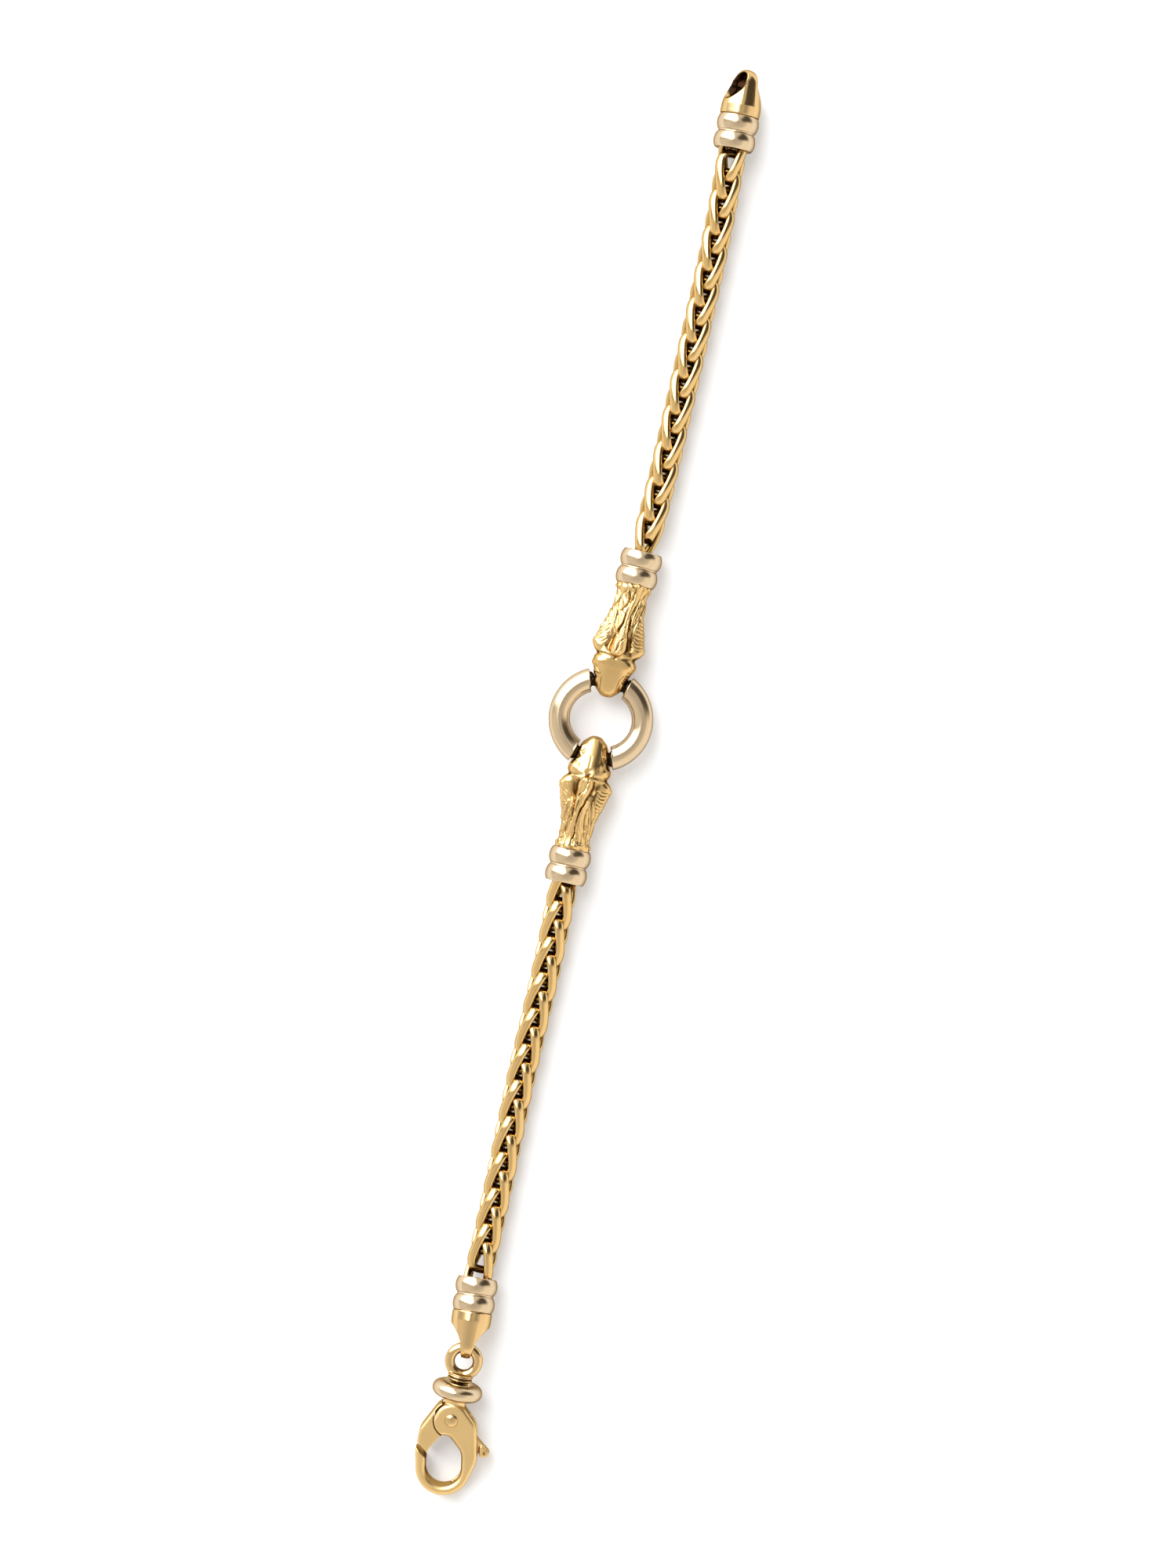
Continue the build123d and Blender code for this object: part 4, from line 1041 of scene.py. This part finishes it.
def sky_patch(tree, azimuth, tilt, centre, half_width, near, far, soft=8.0):
    """A soft-edged patch of the sky: its middle direction and half width, and its reach from the zenith."""
    turn = add(tree, "ShaderNodeMath", {"operation": "SUBTRACT", 1: centre})
    tree.links.new(azimuth, turn.inputs[0])
    wrap = add(tree, "ShaderNodeMath", {"operation": "WRAP", 1: 180.0, 2: -180.0})
    tree.links.new(turn.outputs[0], wrap.inputs[0])
    away = add(tree, "ShaderNodeMath", {"operation": "ABSOLUTE"})
    tree.links.new(wrap.outputs[0], away.inputs[0])
    masks = []
    for value, start, end in (
        (away.outputs[0], half_width + soft, half_width - soft),
        (tilt, near - soft / 2, near + soft / 2),
        (tilt, far + soft, far - soft),
    ):
        edge = add(tree, "ShaderNodeMapRange", {
            "interpolation_type": "SMOOTHSTEP", "From Min": start, "From Max": end,
        }, Value=value)
        masks.append(edge.outputs["Result"])
    both = add(tree, "ShaderNodeMath", {"operation": "MULTIPLY"})
    tree.links.new(masks[0], both.inputs[0])
    tree.links.new(masks[1], both.inputs[1])
    whole = add(tree, "ShaderNodeMath", {"operation": "MULTIPLY"})
    tree.links.new(both.outputs[0], whole.inputs[0])
    tree.links.new(masks[2], whole.inputs[1])
    return whole.outputs[0]


# The studio round the bracelet, in degrees: azimuth from the row's +x, reach from the zenith
SKY_PATCHES = [
    # what, azimuth, half width, near, far, colour, strength
    ("room to the right", -40, 62, 48, 96, "#FFF8EC", 1.40),
    ("dim corner behind", 42, 25, 24, 84, "#6A6258", 0.60),
    ("frame of the softbox", 138, 42, 4, 88, "#5C5448", 0.60),
    ("softbox", 138, 32, 14, 84, "#FFFFFF", 6.5),
]


def studio():
    """Light from one large softbox at the upper left, in a room of warm greys."""
    world = bpy.data.worlds.new("studio")
    bpy.context.scene.world = world
    world.use_nodes = True
    tree = world.node_tree
    direction = add(tree, "ShaderNodeTexCoord").outputs["Generated"]
    parts = add(tree, "ShaderNodeSeparateXYZ", Vector=direction).outputs
    around = add(tree, "ShaderNodeMath", {"operation": "ARCTAN2"})
    tree.links.new(parts["Y"], around.inputs[0])
    tree.links.new(parts["X"], around.inputs[1])
    azimuth = add(tree, "ShaderNodeMath", {"operation": "DEGREES"})
    tree.links.new(around.outputs[0], azimuth.inputs[0])
    height = add(tree, "ShaderNodeMath", {"operation": "ARCCOSINE"})
    tree.links.new(parts["Z"], height.inputs[0])
    tilt = add(tree, "ShaderNodeMath", {"operation": "DEGREES"})
    tree.links.new(height.outputs[0], tilt.inputs[0])
    rise = add(tree, "ShaderNodeMapRange", {
        "interpolation_type": "SMOOTHSTEP", "From Min": 0.0, "From Max": 60.0, "To Min": 0.68, "To Max": 1.06,
    }, Value=tilt.outputs[0])
    scene_colour = add(tree, "ShaderNodeVectorMath", {"operation": "SCALE", 0: linear("#FFFAF1")[:3]})
    tree.links.new(rise.outputs["Result"], scene_colour.inputs["Scale"])
    colour = scene_colour.outputs[0]
    for _, centre, half_width, near, far, code, strength in SKY_PATCHES:
        mask = sky_patch(tree, azimuth.outputs[0], tilt.outputs[0], centre, half_width, near, far)
        mix = add(tree, "ShaderNodeMix", {"data_type": "VECTOR"}, Factor=mask)
        tree.links.new(colour, mix.inputs[4])
        mix.inputs[5].default_value = [channel * strength for channel in linear(code)[:3]]
        colour = mix.outputs[1]
    tree.links.new(colour, tree.nodes["Background"].inputs["Color"])


# The camera looks straight down: metres for its distance, the frame's height and the spot that it is above
SENSOR = 36.0
CAMERA_DISTANCE = 0.70
FRAME_HEIGHT = 0.2044
CAMERA_ABOVE = (0.00022, -0.00031)
CAMERA_ROLL = 12.68


def camera():
    data = bpy.data.cameras.new("camera")
    eye = bpy.data.objects.new("camera", data)
    bpy.context.scene.collection.objects.link(eye)
    data.sensor_width = SENSOR
    data.lens = SENSOR * CAMERA_DISTANCE / FRAME_HEIGHT
    eye.location = (*CAMERA_ABOVE, AXIS_HEIGHT * MILLIMETRE + CAMERA_DISTANCE)
    eye.rotation_euler = (0, 0, math.radians(CAMERA_ROLL))
    bpy.context.scene.camera = eye


floor()
studio()
camera()
bpy.context.scene.view_settings.view_transform = "Standard"
